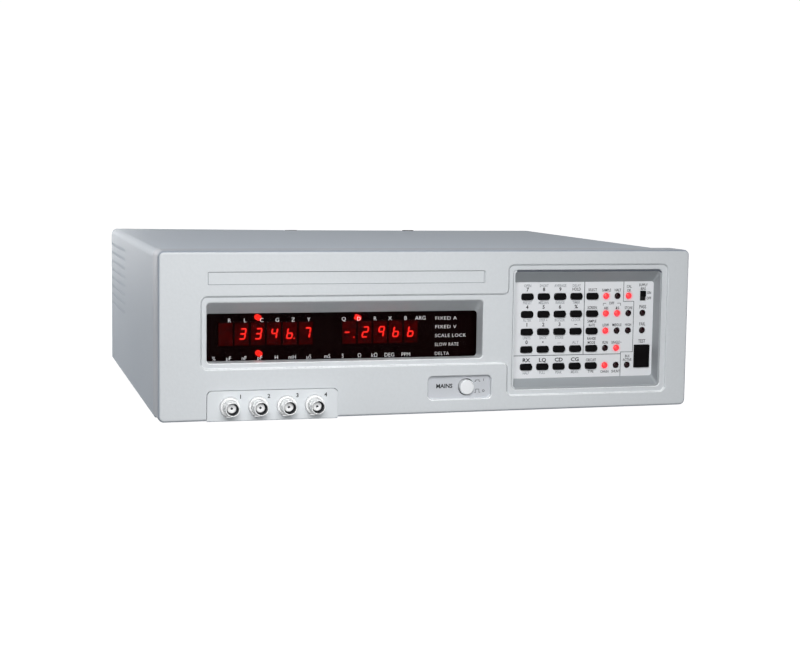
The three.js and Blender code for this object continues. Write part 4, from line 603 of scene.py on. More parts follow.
def drawn(point):
    """A point in the frame as across, down and in from the face, in mm."""
    return (point.x - FACE_LOW.x) / MM, (FACE_HIGH.z - point.z) / MM, (point.y - FACE_LOW.y) / MM


def within(zone, point):
    """Whether a point lies in a zone of the drawing: left, top, right and bottom."""
    across, down, _ = drawn(point)
    return zone[0] < across < zone[2] and zone[1] < down < zone[3]


def lip(zone, depth, *others):
    """A test for edges at one depth in a zone, outside other zones."""
    return lambda at: (abs(drawn(at)[2] - depth) < LEVEL and within(zone, at)
                       and not any(within(other, at) for other in others))


print("zones of the front: strip, recess, notch and face")

# %% Front shell
BAND_DEPTH = 1.2
STRIP_LIP, RECESS_LIP, OUTER_LIP, BAND_LIP, FRONT_EDGE = 0.15, 1.0, 1.15, 0.8, 0.25
NOTCH_DEPTH, NOTCH_GAP, NOTCH_GAP_SHOWN = 3.2, 0.5, 0.2

LIPS = [
    (lip(STRIP_ZONE, 0), STRIP_LIP),
    (lip(RECESS_ZONE, 0), RECESS_LIP),
    (lip(FACE_ZONE, 0, STRIP_ZONE, RECESS_ZONE, NOTCH_ZONE), OUTER_LIP),
    (lip(FACE_ZONE, BAND_DEPTH, RECESS_ZONE, NOTCH_ZONE), BAND_LIP),
]
front = softened("front_bezel", FRONT_EDGE, 2, LIPS)
plate_low, plate_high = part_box("connector_plate")
plate_width, plate_rise = (plate_high.x - plate_low.x) / MM, (plate_high.z - FACE_LOW.z) / MM
narrower = (plate_width + 2 * NOTCH_GAP_SHOWN) / (plate_width + 2 * NOTCH_GAP)
lower = (plate_rise + NOTCH_GAP_SHOWN) / (plate_rise + NOTCH_GAP)
notch_foot = Vector(((plate_low.x + plate_high.x) / 2, FACE_LOW.y, FACE_LOW.z))
with shaping(front, "VERT"):
    pick("faces", lambda at, facing: within(NOTCH_ZONE, at) and abs(facing.y) < ACROSS
         and drawn(at)[2] < NOTCH_DEPTH)
    bpy.ops.transform.resize(value=(narrower, 1, lower), center_override=notch_foot)
settled(front, "front_shell", "bezel_plastic", stands_for=["front_bezel"])
print("front shell:", len(front.data.polygons), "faces")

# %% [markdown]
# The rounded outer rim looks darker than the face, lips that look up look lighter, and the floor of the
# button's recess a little darker. One plastic makes them all on the real front, and light alone doesn't part
# them as clearly, so these faces get painted shade on the rim and the recess floor, and a painted highlight
# on the upward lips.

# %% Painted light and shade on the front
RIM, RIM_SLANT = 4.0, 0.75
LIP_SLANT, LIP_FIRST, LIP_LAST = 0.2, 0.01, 2.1
RECESS_FIRST, RECESS_LAST = 0.5, 4


def to_edge(at):
    """How far a point on the front is from the nearest of its four sides."""
    return min(at.x - FACE_LOW.x, FACE_HIGH.x - at.x, at.z - FACE_LOW.z, FACE_HIGH.z - at.z)


# The rounded rim gets painted shade.
coated(front, "rim_painted_shade", lambda at, facing: abs(facing.y) < RIM_SLANT and to_edge(at) < RIM * MM)
# Lips that look up get a painted highlight.
coated(front, "lip_painted_highlight", lambda at, facing: within(FACE_ZONE, at) and not within(STRIP_ZONE, at)
       and not within(NOTCH_ZONE, at) and facing.z > LIP_SLANT and LIP_FIRST < drawn(at)[2] < LIP_LAST)
# The floor of the button's recess gets painted shade.
coated(front, "recess_painted_shade", lambda at, facing: within(RECESS_ZONE, at) and facing.y < -ALONG
       and RECESS_FIRST < drawn(at)[2] < RECESS_LAST)
print("tones of the front:", len(front.data.materials))

# %% [markdown]
# The other shells need one bevel width each. They are a list of names: the new piece, the solid it stands
# for, its finish and its edge.

# %% Other shells
SHELLS = [
    ("keypad_lining", "keypad_surround", "surround_plastic", 0.3),
    ("keypad_panel", "keypad_overlay", "overlay_sheet", 0.1),
    ("cover_shell", "top_cover", "cover_paint", 0.3),
    ("bottom_tray", "bottom_pan", "cover_paint", 0.25),
    ("rear_plate", "rear_panel", "cover_paint", 0.25),
    ("inlet_housing", "power_inlet", "black_plastic", 0.3),
    ("selector_housing", "voltage_selector", "switch_steel", 0.2),
]
for name, node, finish, edge in SHELLS:
    shell = settled(softened(node, edge), name, finish, stands_for=[node])
    print(name, len(shell.data.polygons), "faces")

# %% [markdown]
# The keypad's lining sits in the front's opening with a thin flat rim. The rim fills the opening without a
# gap, so its outer walls grow a little. Its top side gets painted shade, and its left side the front's
# lighter plastic as painted light, so that it melts into the front there. It is cut into triangles, so that
# each side can have its own tone.

# %% Rim of the keypad's lining
NOSE_CENTRE, NOSE_WIDTH, NOSE_HEIGHT = (299.35, 55.3), 110.3, 82.2
NOSE_END, NOSE_GROWTH = 3.4, 0.5
NOSE_TOP, NOSE_LEFT = 16.0, 246.5
NOSE_FLAT, NOSE_SLANT = 0.4, 0.2

lining, lining_front = bpy.data.objects["keypad_lining"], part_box("keypad_surround")[0].y
nose_middle = on_face(*NOSE_CENTRE)


def on_rim(at, facing):
    """Whether a face is part of the lining's flat rim."""
    return at.y < lining_front + NOSE_FLAT * MM and facing.y < -NOSE_SLANT


with shaping(lining, "VERT"):
    pick("faces", lambda at, facing: abs(facing.y) < ACROSS and drawn(at)[2] < NOSE_END
         and (at - nose_middle).dot(facing) > 0)
    wider, taller = 1 + NOSE_GROWTH / NOSE_WIDTH, 1 + NOSE_GROWTH / NOSE_HEIGHT
    bpy.ops.transform.resize(value=(wider, 1, taller), center_override=nose_middle)
with shaping(lining):
    pick("faces", on_rim)
    bpy.ops.mesh.quads_convert_to_tris()
# The top side of the rim gets painted shade.
coated(lining, "surround_painted_shade", lambda at, facing: on_rim(at, facing) and drawn(at)[1] < NOSE_TOP)
# The left side of the rim gets the front's lighter plastic as painted light.
coated(lining, "bezel_plastic", lambda at, facing: on_rim(at, facing) and drawn(at)[0] < NOSE_LEFT)
print("rim:", NOSE_WIDTH + NOSE_GROWTH, "by", NOSE_HEIGHT + NOSE_GROWTH, "mm")

# %% [markdown]
# The plate that holds the jacks, and their white collars, have one rounder edge each: the plate's at its
# foot, whose underside gets painted shade, and the collars' round their fronts.

# %% Jack plate and collars
PLATE_EDGE, PLATE_LIP, COLLAR_EDGE, COLLAR_LIP = 0.2, 0.6, 0.15, 0.66
NEAR = 0.1
UNDERSIDE, UNDERSIDE_SLANT = 1.0, 0.25

collar_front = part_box("bnc_insulator")[0].y
plate_foot = [(lambda at: at.z < plate_low.z + NEAR * MM and at.y < plate_low.y + NEAR * MM, PLATE_LIP)]
collar_rims = [(lambda at: at.y < collar_front + NEAR * MM, COLLAR_LIP)]
plate = softened("connector_plate", PLATE_EDGE, 3, plate_foot)
settled(plate, "jack_plate", "plate_metal", stands_for=["connector_plate"])
# The plate's underside gets the rim's painted shade.
coated(plate, "rim_painted_shade",
       lambda at, facing: at.z < plate_low.z + UNDERSIDE * MM and facing.z < -UNDERSIDE_SLANT)
collars = softened("bnc_insulator", COLLAR_EDGE, 3, collar_rims)
# The collars take the white plastic with its painted glow.
settled(collars, "jack_insulator", "white_insulator", stands_for=["bnc_insulator"])
print("plate and collars:", len(plate.data.polygons) + len(collars.data.polygons), "faces")

# %% [markdown]
# In the photo some outer edges lie a little off those of the plain solids. The front's lower edge hangs
# some two millimetres lower, most of all at the left, the plate's half of one, and the cover's sides
# slope down to meet the front. The cover's top rises a little toward its rear left corner. Corners are
# moved in code here, because how far each one goes depends on its place.

# %% Outer edges
FRONT_DROP, FRONT_TILT, PLATE_DROP, SIDE_DROP, REAR_RISE = 2.05, 0.85, 0.6, 5.2, 1.4
FRONT_FOOT, PLATE_FOOT, SIDE_FOOT = 4.2, 3.7, 0.8
TOP_FOLD, REAR_END = 5.3, 10


def lowered(name, test, drop):
    """Moves the corners of a piece that pass a test down by a drop in mm that depends on their place."""
    piece = bpy.data.objects[name]
    with shaping(piece, "VERT") as mesh:
        moved = [corner for corner in mesh.verts if test(corner.co)]
        for corner in moved:
            corner.co.z -= drop(corner.co) * MM
        bmesh.update_edit_mesh(piece.data)
        print(name, len(moved), "corners moved")


(_, _, cover_foot), (_, cover_rear, cover_top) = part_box("top_cover")
lowered("front_shell", lambda at: at.z < FACE_LOW.z + FRONT_FOOT * MM,
        lambda at: FRONT_DROP - FRONT_TILT * at.x / FACE_HIGH.x)
lowered("jack_plate", lambda at: at.z < plate_low.z + PLATE_FOOT * MM, lambda at: PLATE_DROP)
lowered("cover_shell", lambda at: at.z < cover_foot + SIDE_FOOT * MM and at.y < 0, lambda at: SIDE_DROP)
lowered("cover_shell", lambda at: at.z > cover_top - TOP_FOLD * MM and at.y > cover_rear - REAR_END * MM,
        lambda at: REAR_RISE * min(0, at.x / FACE_HIGH.x))

# %% [markdown]
# Two black lugs of the rear panel stand in the cover's notches. They are its topmost faces. Each side slot
# is filled just behind the cover's face by a thin strip near the paint's tone: painted light in place of the
# slot's shade.

# %% Lugs and pale slot fillers
LUG_MIDDLES = (-34.3, 70.0)
LUG_HALF, LUG_RISE = 5.6, 4.0
SLOT_ROWS, SLOT_PITCH, FIRST_SLOT, SLOT_HEIGHT = 8, 6.85, 100.9, 2.1
SLOT_FRONT, SLOT_REAR = 57.6, 153.4
FILL_SHEET, FILL_SET_IN = 0.4, 0.3

rear_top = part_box("rear_panel")[1].z
coated(bpy.data.objects["rear_plate"], "black_plastic", lambda at, facing: at.z > rear_top - LUG_RISE * MM
       and any(abs(at.x / MM - middle) < LUG_HALF for middle in LUG_MIDDLES))

# Pale strips that fill the slots, as painted light over the shade inside them.
sheet_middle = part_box("top_cover")[1].x / MM - FILL_SET_IN - FILL_SHEET / 2
for name, side in (("left_slot_fill", -1), ("right_slot_fill", 1)):
    strip = centred(Vector(), (FILL_SHEET, SLOT_REAR - SLOT_FRONT, SLOT_HEIGHT))
    places = [Vector((side * sheet_middle, (SLOT_FRONT + SLOT_REAR) / 2, FIRST_SLOT - row * SLOT_PITCH)) * MM
              for row in range(SLOT_ROWS)]
    settled(joined(copies(strip, places)), name, "slot_fill_painted_light")
print("lugs:", len(LUG_MIDDLES), "and", SLOT_ROWS, "strips of mesh in each side")

# %% [markdown]
# Turned parts are made from a ring of points. The ring is extruded and scaled again and again, once for
# each step of the part's profile, as a lathe hand would take cuts, and the last ring closes to a disc.

# %% Helper for turned parts
TURNED_CURVE = 40


def turned(centre, profile, sides=48):
    """A round part along Y about a centre. The profile lists (radius, y) in mm, the y from the centre."""
    start_radius, start_y = profile[0]
    place = centre + Vector((0, start_y * MM, 0))
    bpy.ops.object.select_all(action="DESELECT")
    bpy.ops.mesh.primitive_circle_add(vertices=sides, radius=start_radius * MM, location=place,
                                      rotation=(math.pi / 2, 0, 0), fill_type="NGON")
    part = bpy.context.object
    bpy.ops.object.transform_apply(location=True, rotation=True, scale=True)
    radius, depth = start_radius, start_y
    with shaping(part):
        bpy.ops.mesh.select_all(action="SELECT")
        for next_radius, next_depth in profile[1:]:
            step = (0, (next_depth - depth) * MM, 0)
            bpy.ops.mesh.extrude_region_move(TRANSFORM_OT_translate={"value": step})
            share = next_radius / radius
            middle = centre + Vector((0, next_depth * MM, 0))
            bpy.ops.transform.resize(value=(share, 1, share), center_override=middle)
            radius, depth = next_radius, next_depth
        bpy.ops.mesh.select_all(action="SELECT")
        bpy.ops.mesh.remove_doubles(threshold=WELD / 2 * MM)
        bpy.ops.mesh.normals_make_consistent(inside=False)
    smoothed(part, TURNED_CURVE)
    return part


print("lathe ready")

# %% [markdown]
# The keys are small black lozenges that barely stand out of the panel. One is modelled: a block whose
# four upright edges are rounded by a bevel, with a soft rim, a skirt behind the panel that stops it from
# falling out, and a stem to its switch. The other keys are copies.

# %% Helper for keys
PANEL_LOW, PANEL_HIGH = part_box("keypad_overlay")
KEY_SKIRT, KEY_SKIRT_DEPTH, KEY_BEHIND = 0.9 * MM, 0.8 * MM, 0.3 * MM
FLAT_FRONT, UPRIGHT_WALL = 0.99, 0.1
STEM_HALF, STEM_SHARE = 0.5 * MM, 0.3


def key_shape(node, corner, rim, dish):
    """A key in the place of its solid: cap, rounded rim, slight dish, skirt and stem."""
    low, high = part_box(node)
    middle = (low + high) / 2
    cap = high - low - Vector((2 * KEY_SKIRT, 0, 2 * KEY_SKIRT))
    skirt_front = PANEL_HIGH.y + KEY_BEHIND
    skirt_back = skirt_front + KEY_SKIRT_DEPTH
    half = cap / 2
    key = block(Vector((middle.x - half.x, low.y, middle.z - half.z)),
                Vector((middle.x + half.x, skirt_back, middle.z + half.z)))
    with shaping(key, "EDGE"):
        pick("edges", lambda at, along: abs(along.y) > ALONG)
        bpy.ops.mesh.bevel(offset=corner * MM, segments=6, affect="EDGES")
        bpy.ops.mesh.select_mode(type="FACE")
        pick("faces", lambda at, facing: facing.y < -ALONG)
        bpy.ops.mesh.region_to_loop()
        bpy.ops.mesh.bevel(offset=rim * MM, segments=3, affect="EDGES")
        bpy.ops.mesh.select_mode(type="FACE")
        pick("faces", lambda at, facing: facing.y < -FLAT_FRONT)
        bpy.ops.mesh.inset(thickness=rim * MM)
        bpy.ops.transform.translate(value=(0, dish * MM, 0))
        bpy.ops.mesh.select_all(action="SELECT")
        bpy.ops.mesh.bisect(plane_co=(0, skirt_front, 0), plane_no=(0, 1, 0))
        pick("faces", lambda at, facing: at.y > skirt_front and abs(facing.y) < UPRIGHT_WALL)
        bpy.ops.mesh.extrude_region_shrink_fatten(TRANSFORM_OT_shrink_fatten={"value": KEY_SKIRT})
        pick("faces", lambda at, facing: facing.y > ALONG and at.y > skirt_back - LEVEL * MM
             and abs(at.x - middle.x) < STEM_HALF and abs(at.z - middle.z) < STEM_HALF)
        bpy.ops.mesh.inset(thickness=STEM_SHARE * cap.z)
        bpy.ops.mesh.extrude_region_move(TRANSFORM_OT_translate={"value": (0, high.y - skirt_back, 0)})
    smoothed(key)
    return key


print("skirt:", KEY_SKIRT / MM, "mm wide")

# %% Keys
KEY_CORNER, KEY_RIM, KEY_DISH = 1.9, 0.3, 0.12

key_nodes = sorted(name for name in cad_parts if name.startswith("key_row"))
first_key = key_shape(key_nodes[0], KEY_CORNER, KEY_RIM, KEY_DISH)
first_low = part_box(key_nodes[0])[0]
for node in key_nodes[1:]:
    settled(copied(first_key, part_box(node)[0] - first_low), node + "_cap", "key_plastic", node,
            stands_for=[node])
settled(first_key, key_nodes[0] + "_cap", "key_plastic", key_nodes[0], stands_for=[key_nodes[0]])
print("small keys:", len(key_nodes))

# %% [markdown]
# The larger key that starts a measurement has a crease across its middle. It is the same shape with other
# sizes, cut in two by a bisecting plane, and the front edge of the cut is pushed in.

# %% Start key
START_CORNER, START_RIM, START_DISH, START_CREASE = 0.5, 0.3, 0.1, 0.3
START_FRONT = 0.4

start_cap = key_shape("start_key", START_CORNER, START_RIM, START_DISH)
start_front, start_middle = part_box("start_key")[0].y, middle_of("start_key")
with shaping(start_cap, "EDGE"):
    bpy.ops.mesh.select_all(action="SELECT")
    bpy.ops.mesh.bisect(plane_co=(0, 0, start_middle.z), plane_no=(0, 0, 1))
    pick("edges", lambda at, along: abs(at.z - start_middle.z) < LEVEL * MM
         and at.y < start_front + START_FRONT * MM)
    bpy.ops.transform.translate(value=(0, START_CREASE * MM, 0))
settled(start_cap, "start_key_cap", "key_plastic", "start_key", stands_for=["start_key"])
print("start key: crease", START_CREASE, "mm deep")

# %% [markdown]
# Behind the panel, lamps stand on a board beside the switches. A lamp is a clear red dome. When lit it
# glows all over and shines on the panel round it, and when dark it is almost black with one small
# highlight. One is turned at the origin and copied to each hole, in five rows beside the keys and two in
# the last column. Its outline is a cylinder with a quarter round on it, drawn by a few angles.

# %% Keypad board and lamps
BOARD_SHEET = 1.6
LAMP_RADIUS, LAMP_CROWN = 2.1, 0.9
LAMP_FROM_KEYS, LAMP_PITCH = 10.53, 8.59
CROWN_ANGLES = (20, 40, 60, 78)
LIT_LAMPS = {(1, 1), (1, 3), (2, 1), (2, 2), (3, 1), (4, 2), (5, 1)}
LAMP_PLACES = [(row, column) for row in range(1, 6) for column in range(1, 4) if (row, column) != (4, 3)]
STATUS_ROWS = (2, 3)

BOARD_LOW, BOARD_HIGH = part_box("keypad_board")
board_front = BOARD_HIGH.y - BOARD_SHEET * MM


def key_middle(row, column):
    """The middle of a small key."""
    return middle_of(f"key_row{row}_col{column}")


def lamp_middle(row, column):
    """The middle of a lamp's hole in the panel."""
    beside = key_middle(row, 5)
    return Vector((beside.x + (LAMP_FROM_KEYS + (column - 1) * LAMP_PITCH) * MM, PANEL_LOW.y, beside.z))


def lamp_dome():
    """A lamp at the origin. On the board, its tip is at the board solid's front plane."""
    tip = (BOARD_LOW.y - board_front) / MM
    profile = [(LAMP_RADIUS, 0), (LAMP_RADIUS, tip + LAMP_CROWN)]
    for turn in map(math.radians, CROWN_ANGLES):
        profile.append((LAMP_RADIUS * math.cos(turn), tip + LAMP_CROWN * (1 - math.sin(turn))))
    return turned(Vector(), profile, sides=28)


lamp_spots = {f"lamp_row{row}_{column}": lamp_middle(row, column) for row, column in LAMP_PLACES}
for number, row in enumerate(STATUS_ROWS, 1):
    lamp_spots[f"status_lamp_{number}"] = Vector((start_middle.x, 0, key_middle(row, 5).z))
lit_names = {f"lamp_row{row}_{column}" for row, column in LIT_LAMPS}
domes = copies(lamp_dome(), [Vector((spot.x, board_front, spot.z)) for spot in lamp_spots.values()])
for name, dome in zip(lamp_spots, domes):
    settled(dome, name, "lamp_lit" if name in lit_names else "lamp_dark")
print("lamps:", len(domes), "of which lit:", len(lit_names))

# %% [markdown]
# The board itself is a sheet with a switch behind each key, which the key's stem pushes, and a longer one
# for the slide switch. Only their edges show through the panel's holes, so blocks are enough.

# %% The board behind the keys
BOARD_EDGE = 0.1
SWITCH_SIZE, SWITCH_EDGE = (6, 3.5, 6), 0.3
SLIDE_BEHIND, SLIDE_SIDE, SLIDE_BELOW, SLIDE_ABOVE, SLIDE_EDGE = 0.3, 0.5, 4, 3, 0.2

board_sheet = block(Vector((BOARD_LOW.x, board_front, BOARD_LOW.z)), BOARD_HIGH, BOARD_EDGE)
settled(board_sheet, "keypad_circuit", "circuit_board", stands_for=["keypad_board"])
key_centres = [key_middle(row, column) for row in range(1, 6) for column in range(1, 6)] + [start_middle]
switch_y = board_front - SWITCH_SIZE[1] * MM / 2
switches = copies(centred(Vector(), SWITCH_SIZE, SWITCH_EDGE),
                  [Vector((centre.x, switch_y, centre.z)) for centre in key_centres])
slide_low, slide_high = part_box("bias_switch_knob")
slide_body_low = Vector((slide_low.x - SLIDE_SIDE * MM, slide_high.y + SLIDE_BEHIND * MM,
                         slide_low.z - SLIDE_BELOW * MM))
slide_body_high = Vector((slide_high.x + SLIDE_SIDE * MM, board_front, slide_high.z + SLIDE_ABOVE * MM))
switches.append(block(slide_body_low, slide_body_high, SLIDE_EDGE))
settled(joined(switches), "keypad_switches", "black_plastic")
print("keypad board:", len(switches), "switches")

# %% [markdown]
# Light from a lit lamp tints the panel round it. The tint is painted by distance: the panel's finish
# takes the distance from each point to the nearest lit lamp and turns pink where that is short.

# %% Glow on the panel
GLOW_NEAR, GLOW_FAR = LAMP_RADIUS, 4.4
GLOW_SHARE, GLOW_COLOUR = 0.35, tone(255, 150, 165)
FAR_AWAY = 1.0

film = FINISHES["overlay_sheet"]
place = add_node(film, "TexCoord").outputs["Object"]
nearest = FAR_AWAY
for spot in sorted(LIT_LAMPS):
    ends = {0: place, 1: lamp_middle(*spot)}
    away = add_node(film, "VectorMath", ends, operation="DISTANCE").outputs["Value"]
    nearest = add_node(film, "Math", {0: away, 1: nearest}, operation="MINIMUM").outputs[0]
near = {"Value": nearest, "From Min": GLOW_NEAR * MM, "From Max": GLOW_FAR * MM,
        "To Min": GLOW_SHARE, "To Max": 0.0}
tint = add_node(film, "MapRange", near, interpolation_type="SMOOTHSTEP").outputs[0]
plain = shader_of(film).inputs["Base Color"].links[0].from_socket
feed(film, "Base Color", blend_colours(film, tint, plain, GLOW_COLOUR))
print("glow round", len(LIT_LAMPS), "lamps")

# %% [markdown]
# The slide switch's knob is a small black block with a grip. Its solid has that shape already, so a copy
# with softened edges is enough.

# %% Slide switch knob
KNOB_EDGE = 0.15

knob = softened("bias_switch_knob", KNOB_EDGE)
settled(knob, "slide_knob", "key_plastic", "bias_switch_knob",
        stands_for=["bias_switch_knob"])
print("slide knob:", len(knob.data.polygons), "faces")

# %% [markdown]
# The mains button is a white disc with a softly crowned front, on a stem to its switch. It is a turned
# part too: its outline runs from the stem's end over the rounded rim to the middle of the front.

# %% Mains button
STEM_RADIUS, CAP_LENGTH = 2.5, 12
BUTTON_RIM = [(0, CAP_LENGTH), (0, 0.9), (0.12, 0.52), (0.4, 0.24), (0.85, 0.1)]
CROWN_SHARE, CROWN_DEPTH, CROWN_TIP = 0.55, 0.03, 0.2

button_low, button_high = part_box("power_button")
button_radius = (button_high.x - button_low.x) / 2 / MM
button_length = (button_high.y - button_low.y) / MM
button_middle = middle_of("power_button")
button_front = Vector((button_middle.x, button_low.y, button_middle.z))
outline = [(STEM_RADIUS, button_length), (STEM_RADIUS, CAP_LENGTH)]
outline += [(button_radius - inset, depth) for inset, depth in BUTTON_RIM]
outline += [(button_radius * CROWN_SHARE, CROWN_DEPTH), (CROWN_TIP, 0)]
button = turned(button_front, outline, sides=64)
settled(button, "mains_button", "button_plastic", "power_button", stands_for=["power_button"])
print("button:", round(2 * button_radius, 1), "mm across")

# %% [markdown]
# A coaxial jack is turned from brass and plated: a barrel with a bore, two pins that lock the plug's
# ring, a white plastic sleeve inside it and a contact in the middle. Barrel, sleeve and contact are
# separate pieces, as they are in the real part. The inside of the bore and the contact get painted shade, a
# darker tone. One jack is made at the origin, with the tip of its barrel there, and the others are copies.

# %% Coaxial jacks
JACK_BARREL = [(1.2, 27.8), (1.2, 21.8), (6.2, 21.8), (6.2, 18.8), (4.8, 18.8), (4.8, 7.2), (4.5, 7.0),
               (4.5, 6.6), (4.8, 6.4), (4.8, 0.35), (4.65, 0.08), (4.45, 0), (4.2, 0), (4.05, 0.15),
               (4.05, 8.5), (3.1, 8.5)]
JACK_SLEEVE = [(3.1, 8.5), (3.1, 8.4), (3.1, 4.9), (2.6, 4.4), (0.95, 4.4), (0.8, 4.6), (0.8, 7)]
JACK_CONTACT = [(0.78, 8), (0.78, 4.8), (0.7, 4.65), (0.5, 4.65), (0.4, 4.8), (0.4, 7)]
JACK_PIN = [(1.0, 0), (1.0, 0.7), (0.8, 0.85)]
PIN_TILT, PIN_OUT, PIN_BACK = 0.35, 4.6, 5
BORE_RADIUS, BORE_START, BORE_END = 4.1, 0.1, 8.6
JACKS = 4


def jack_barrel():
    """A barrel with its two pins."""
    parts = [turned(Vector(), JACK_BARREL, sides=56)]
    for angle in (PIN_TILT, PIN_TILT + math.pi):
        outward = Vector((math.cos(angle), 0, -math.sin(angle)))
        pin = turned(Vector(), JACK_PIN, sides=20)
        foot = outward * PIN_OUT * MM + Vector((0, PIN_BACK * MM, 0))
        pin.matrix_world = Matrix.Translation(foot) @ outward.to_track_quat("Y", "Z").to_matrix().to_4x4()
        parts.append(pin)
    return joined(parts)


def in_bore(at, tip):
    """Whether a point is inside a jack's bore, behind its front edge."""
    return (math.hypot(at.x - tip.x, at.z - tip.z) < BORE_RADIUS * MM
            and BORE_START * MM < at.y - tip.y < BORE_END * MM)


tips = []
for number in range(1, JACKS + 1):
    jack_middle = middle_of(f"bnc_jack_{number}")
    tips.append(Vector((jack_middle.x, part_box(f"bnc_jack_{number}")[0].y, jack_middle.z)))
barrels = copies(jack_barrel(), tips)
sleeves = copies(turned(Vector(), JACK_SLEEVE, sides=40), tips)
contacts = copies(turned(Vector(), JACK_CONTACT, sides=24), tips)
for number, (tip, barrel, sleeve, contact) in enumerate(zip(tips, barrels, sleeves, contacts), 1):
    settled(barrel, f"jack_{number}_barrel", "barrel_plate_and_reflection",
            stands_for=[f"bnc_jack_{number}"])
    # Faces inside the bore get painted shade.
    coated(barrel, "bore_painted_shade", lambda at, facing: in_bore(at, tip))
    settled(sleeve, f"jack_{number}_sleeve", "white_insulator")
    # The contact gets the bore's painted shade.
    settled(contact, f"jack_{number}_contact", "bore_painted_shade")
print("jacks:", JACKS, "of 3 pieces each")

# %% [markdown]
# The reading is made of glowing bars. Each digit lights some of seven. A bar is a thin block with cut
# corners, and two of them, one lying and one standing, are copied into place. Operators that slant a shape
# need a window, so the slant is a small move of every point in code: the higher a point, the further right.

# %% Seven-bar digits
DIGIT_WIDTH, DIGIT_HEIGHT = 4.4, 7.8
BAR, BAR_DEPTH, BAR_SHORTER, BAR_CUT = 1.0, 0.4, 0.9, 0.38
POINT_SIZE, POINT_RISE, POINT_EDGE = 0.9, 0.4, 0.2
DIGIT_SLANT = math.tan(math.radians(10))
BARS = {"top": (0, 1), "middle": (0, 0), "bottom": (0, -1),
        "upper left": (-1, 0.5), "upper right": (1, 0.5), "lower left": (-1, -0.5), "lower right": (1, -0.5)}
LIT_BARS = {
    "2": ["top", "upper right", "middle", "lower left", "bottom"],
    "3": ["top", "upper right", "middle", "lower right", "bottom"],
    "4": ["upper left", "upper right", "middle", "lower right"],
    "6": ["upper left", "middle", "lower left", "lower right", "bottom"],
    "7": ["top", "upper right", "lower right"],
    "9": ["top", "upper left", "upper right", "middle", "lower right"],
    "-": ["middle"],
}
DIGIT_DEPTH = 17.3
print("digits:", len(LIT_BARS), "of", len(BARS), "bars")

# %% Helpers for a reading
def bar_shape(lying):
    """One glowing bar with cut corners, lying or standing, at the origin."""
    length = (DIGIT_WIDTH if lying else DIGIT_HEIGHT / 2) - BAR_SHORTER
    bar = centred(Vector(), (length, BAR_DEPTH, BAR) if lying else (BAR, BAR_DEPTH, length))
    with shaping(bar, "EDGE"):
        pick("edges", lambda at, along: abs(along.y) > ALONG)
        bpy.ops.mesh.bevel(offset=BAR_CUT * MM, segments=1, affect="EDGES")
    return bar


def slanted(piece, level):
    """Moves every point right by its height over a level."""
    only(piece)
    bpy.ops.object.transform_apply(location=True, rotation=True, scale=True)
    for corner in piece.data.vertices:
        corner.co.x += (corner.co.z - level) * DIGIT_SLANT
    return piece


def reading(places, down):
    """The glowing bars of a row of digits, as one object."""
    lying, standing, points = [], [], []
    for across, digit in places:
        centre = on_face(across, down, DIGIT_DEPTH - BAR_DEPTH / 2)
        if digit == ".":
            points.append(centre - Vector((0, 0, DIGIT_HEIGHT / 2 - POINT_RISE)) * MM)
        for name in LIT_BARS.get(digit, ()):
            sideways, up = BARS[name]
            shift = Vector((sideways * (DIGIT_WIDTH - BAR) / 2, 0, up * (DIGIT_HEIGHT - BAR) / 2)) * MM
            (standing if sideways else lying).append(centre + shift)
    point = centred(Vector(), (POINT_SIZE, BAR_DEPTH, POINT_SIZE), POINT_EDGE)
    bars = copies(bar_shape(True), lying) + copies(bar_shape(False), standing) + copies(point, points)
    return slanted(joined(bars), on_face(0, down).z)


print("reading: helpers ready")

# %% [markdown]
# The display shows two values side by side. Each is a list of characters and their places across, read off
# the photo, and becomes one piece.

# %% Reading
READING_DOWN = 56.6
READINGS = {
    "left_reading": [(58.6, "3"), (69.3, "3"), (80.0, "4"), (90.7, "6"), (94.2, "."), (102.7, "7")],
    "right_reading": [(130.3, "-"), (135.7, "."), (143.1, "2"), (154.3, "9"), (164.8, "6"), (175.3, "6")],
}
for name, digits in READINGS.items():
    settled(reading(digits, READING_DOWN), name, "digit_red")
    print(name, "".join(digit for _, digit in digits))

# %% [markdown]
# The digits sit in red packages on the display board, six on the left and five on the right. Each is a
# thin red face on a dark body, both blocks with rounded edges, and the digit's bars stand just before it.

# %% Digit packages and their board
PACKAGE_FACE, PACKAGE_FACE_EDGE = (9.3, 0.5, 15.2), 0.1
PACKAGE_BODY, PACKAGE_BODY_EDGE = (10.3, 6, 16), 0.2
PACKAGE_START, PACKAGE_DOWN, PACKAGE_PITCH = 47.0, 56.8, 10.92
PACKAGE_ROWS = [(PACKAGE_START, 6), (131.8, 5)]
BEHIND_BARS = 0.05

face_depth = DIGIT_DEPTH + BEHIND_BARS + PACKAGE_FACE[1] / 2
to_body = Vector((0, PACKAGE_FACE[1] + PACKAGE_BODY[1], 0)) * MM / 2
places = [on_face(first + number * PACKAGE_PITCH, PACKAGE_DOWN, face_depth)
          for first, count in PACKAGE_ROWS for number in range(count)]
faces = copies(centred(Vector(), PACKAGE_FACE, PACKAGE_FACE_EDGE), places)
bodies = copies(centred(Vector(), PACKAGE_BODY, PACKAGE_BODY_EDGE), [place + to_body for place in places])
settled(joined(faces), "digit_faces", "digit_package")
settled(joined(bodies), "digit_packages", "board_black")

display_low, display_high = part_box("display_board")
sheet_low = Vector((display_low.x, display_high.y - BOARD_SHEET * MM, display_low.z))
display_sheet = block(sheet_low, display_high, BOARD_EDGE)
settled(display_sheet, "display_circuit", "board_black", stands_for=["display_board"])
print("digit packages:", len(places))

# %% [markdown]
# Small lamps stand in a row above the digits and one below. Those shine that are beside the legends in
# force: a quantity, a second quantity and a unit. Lit ones bloom, so they are made a little larger.

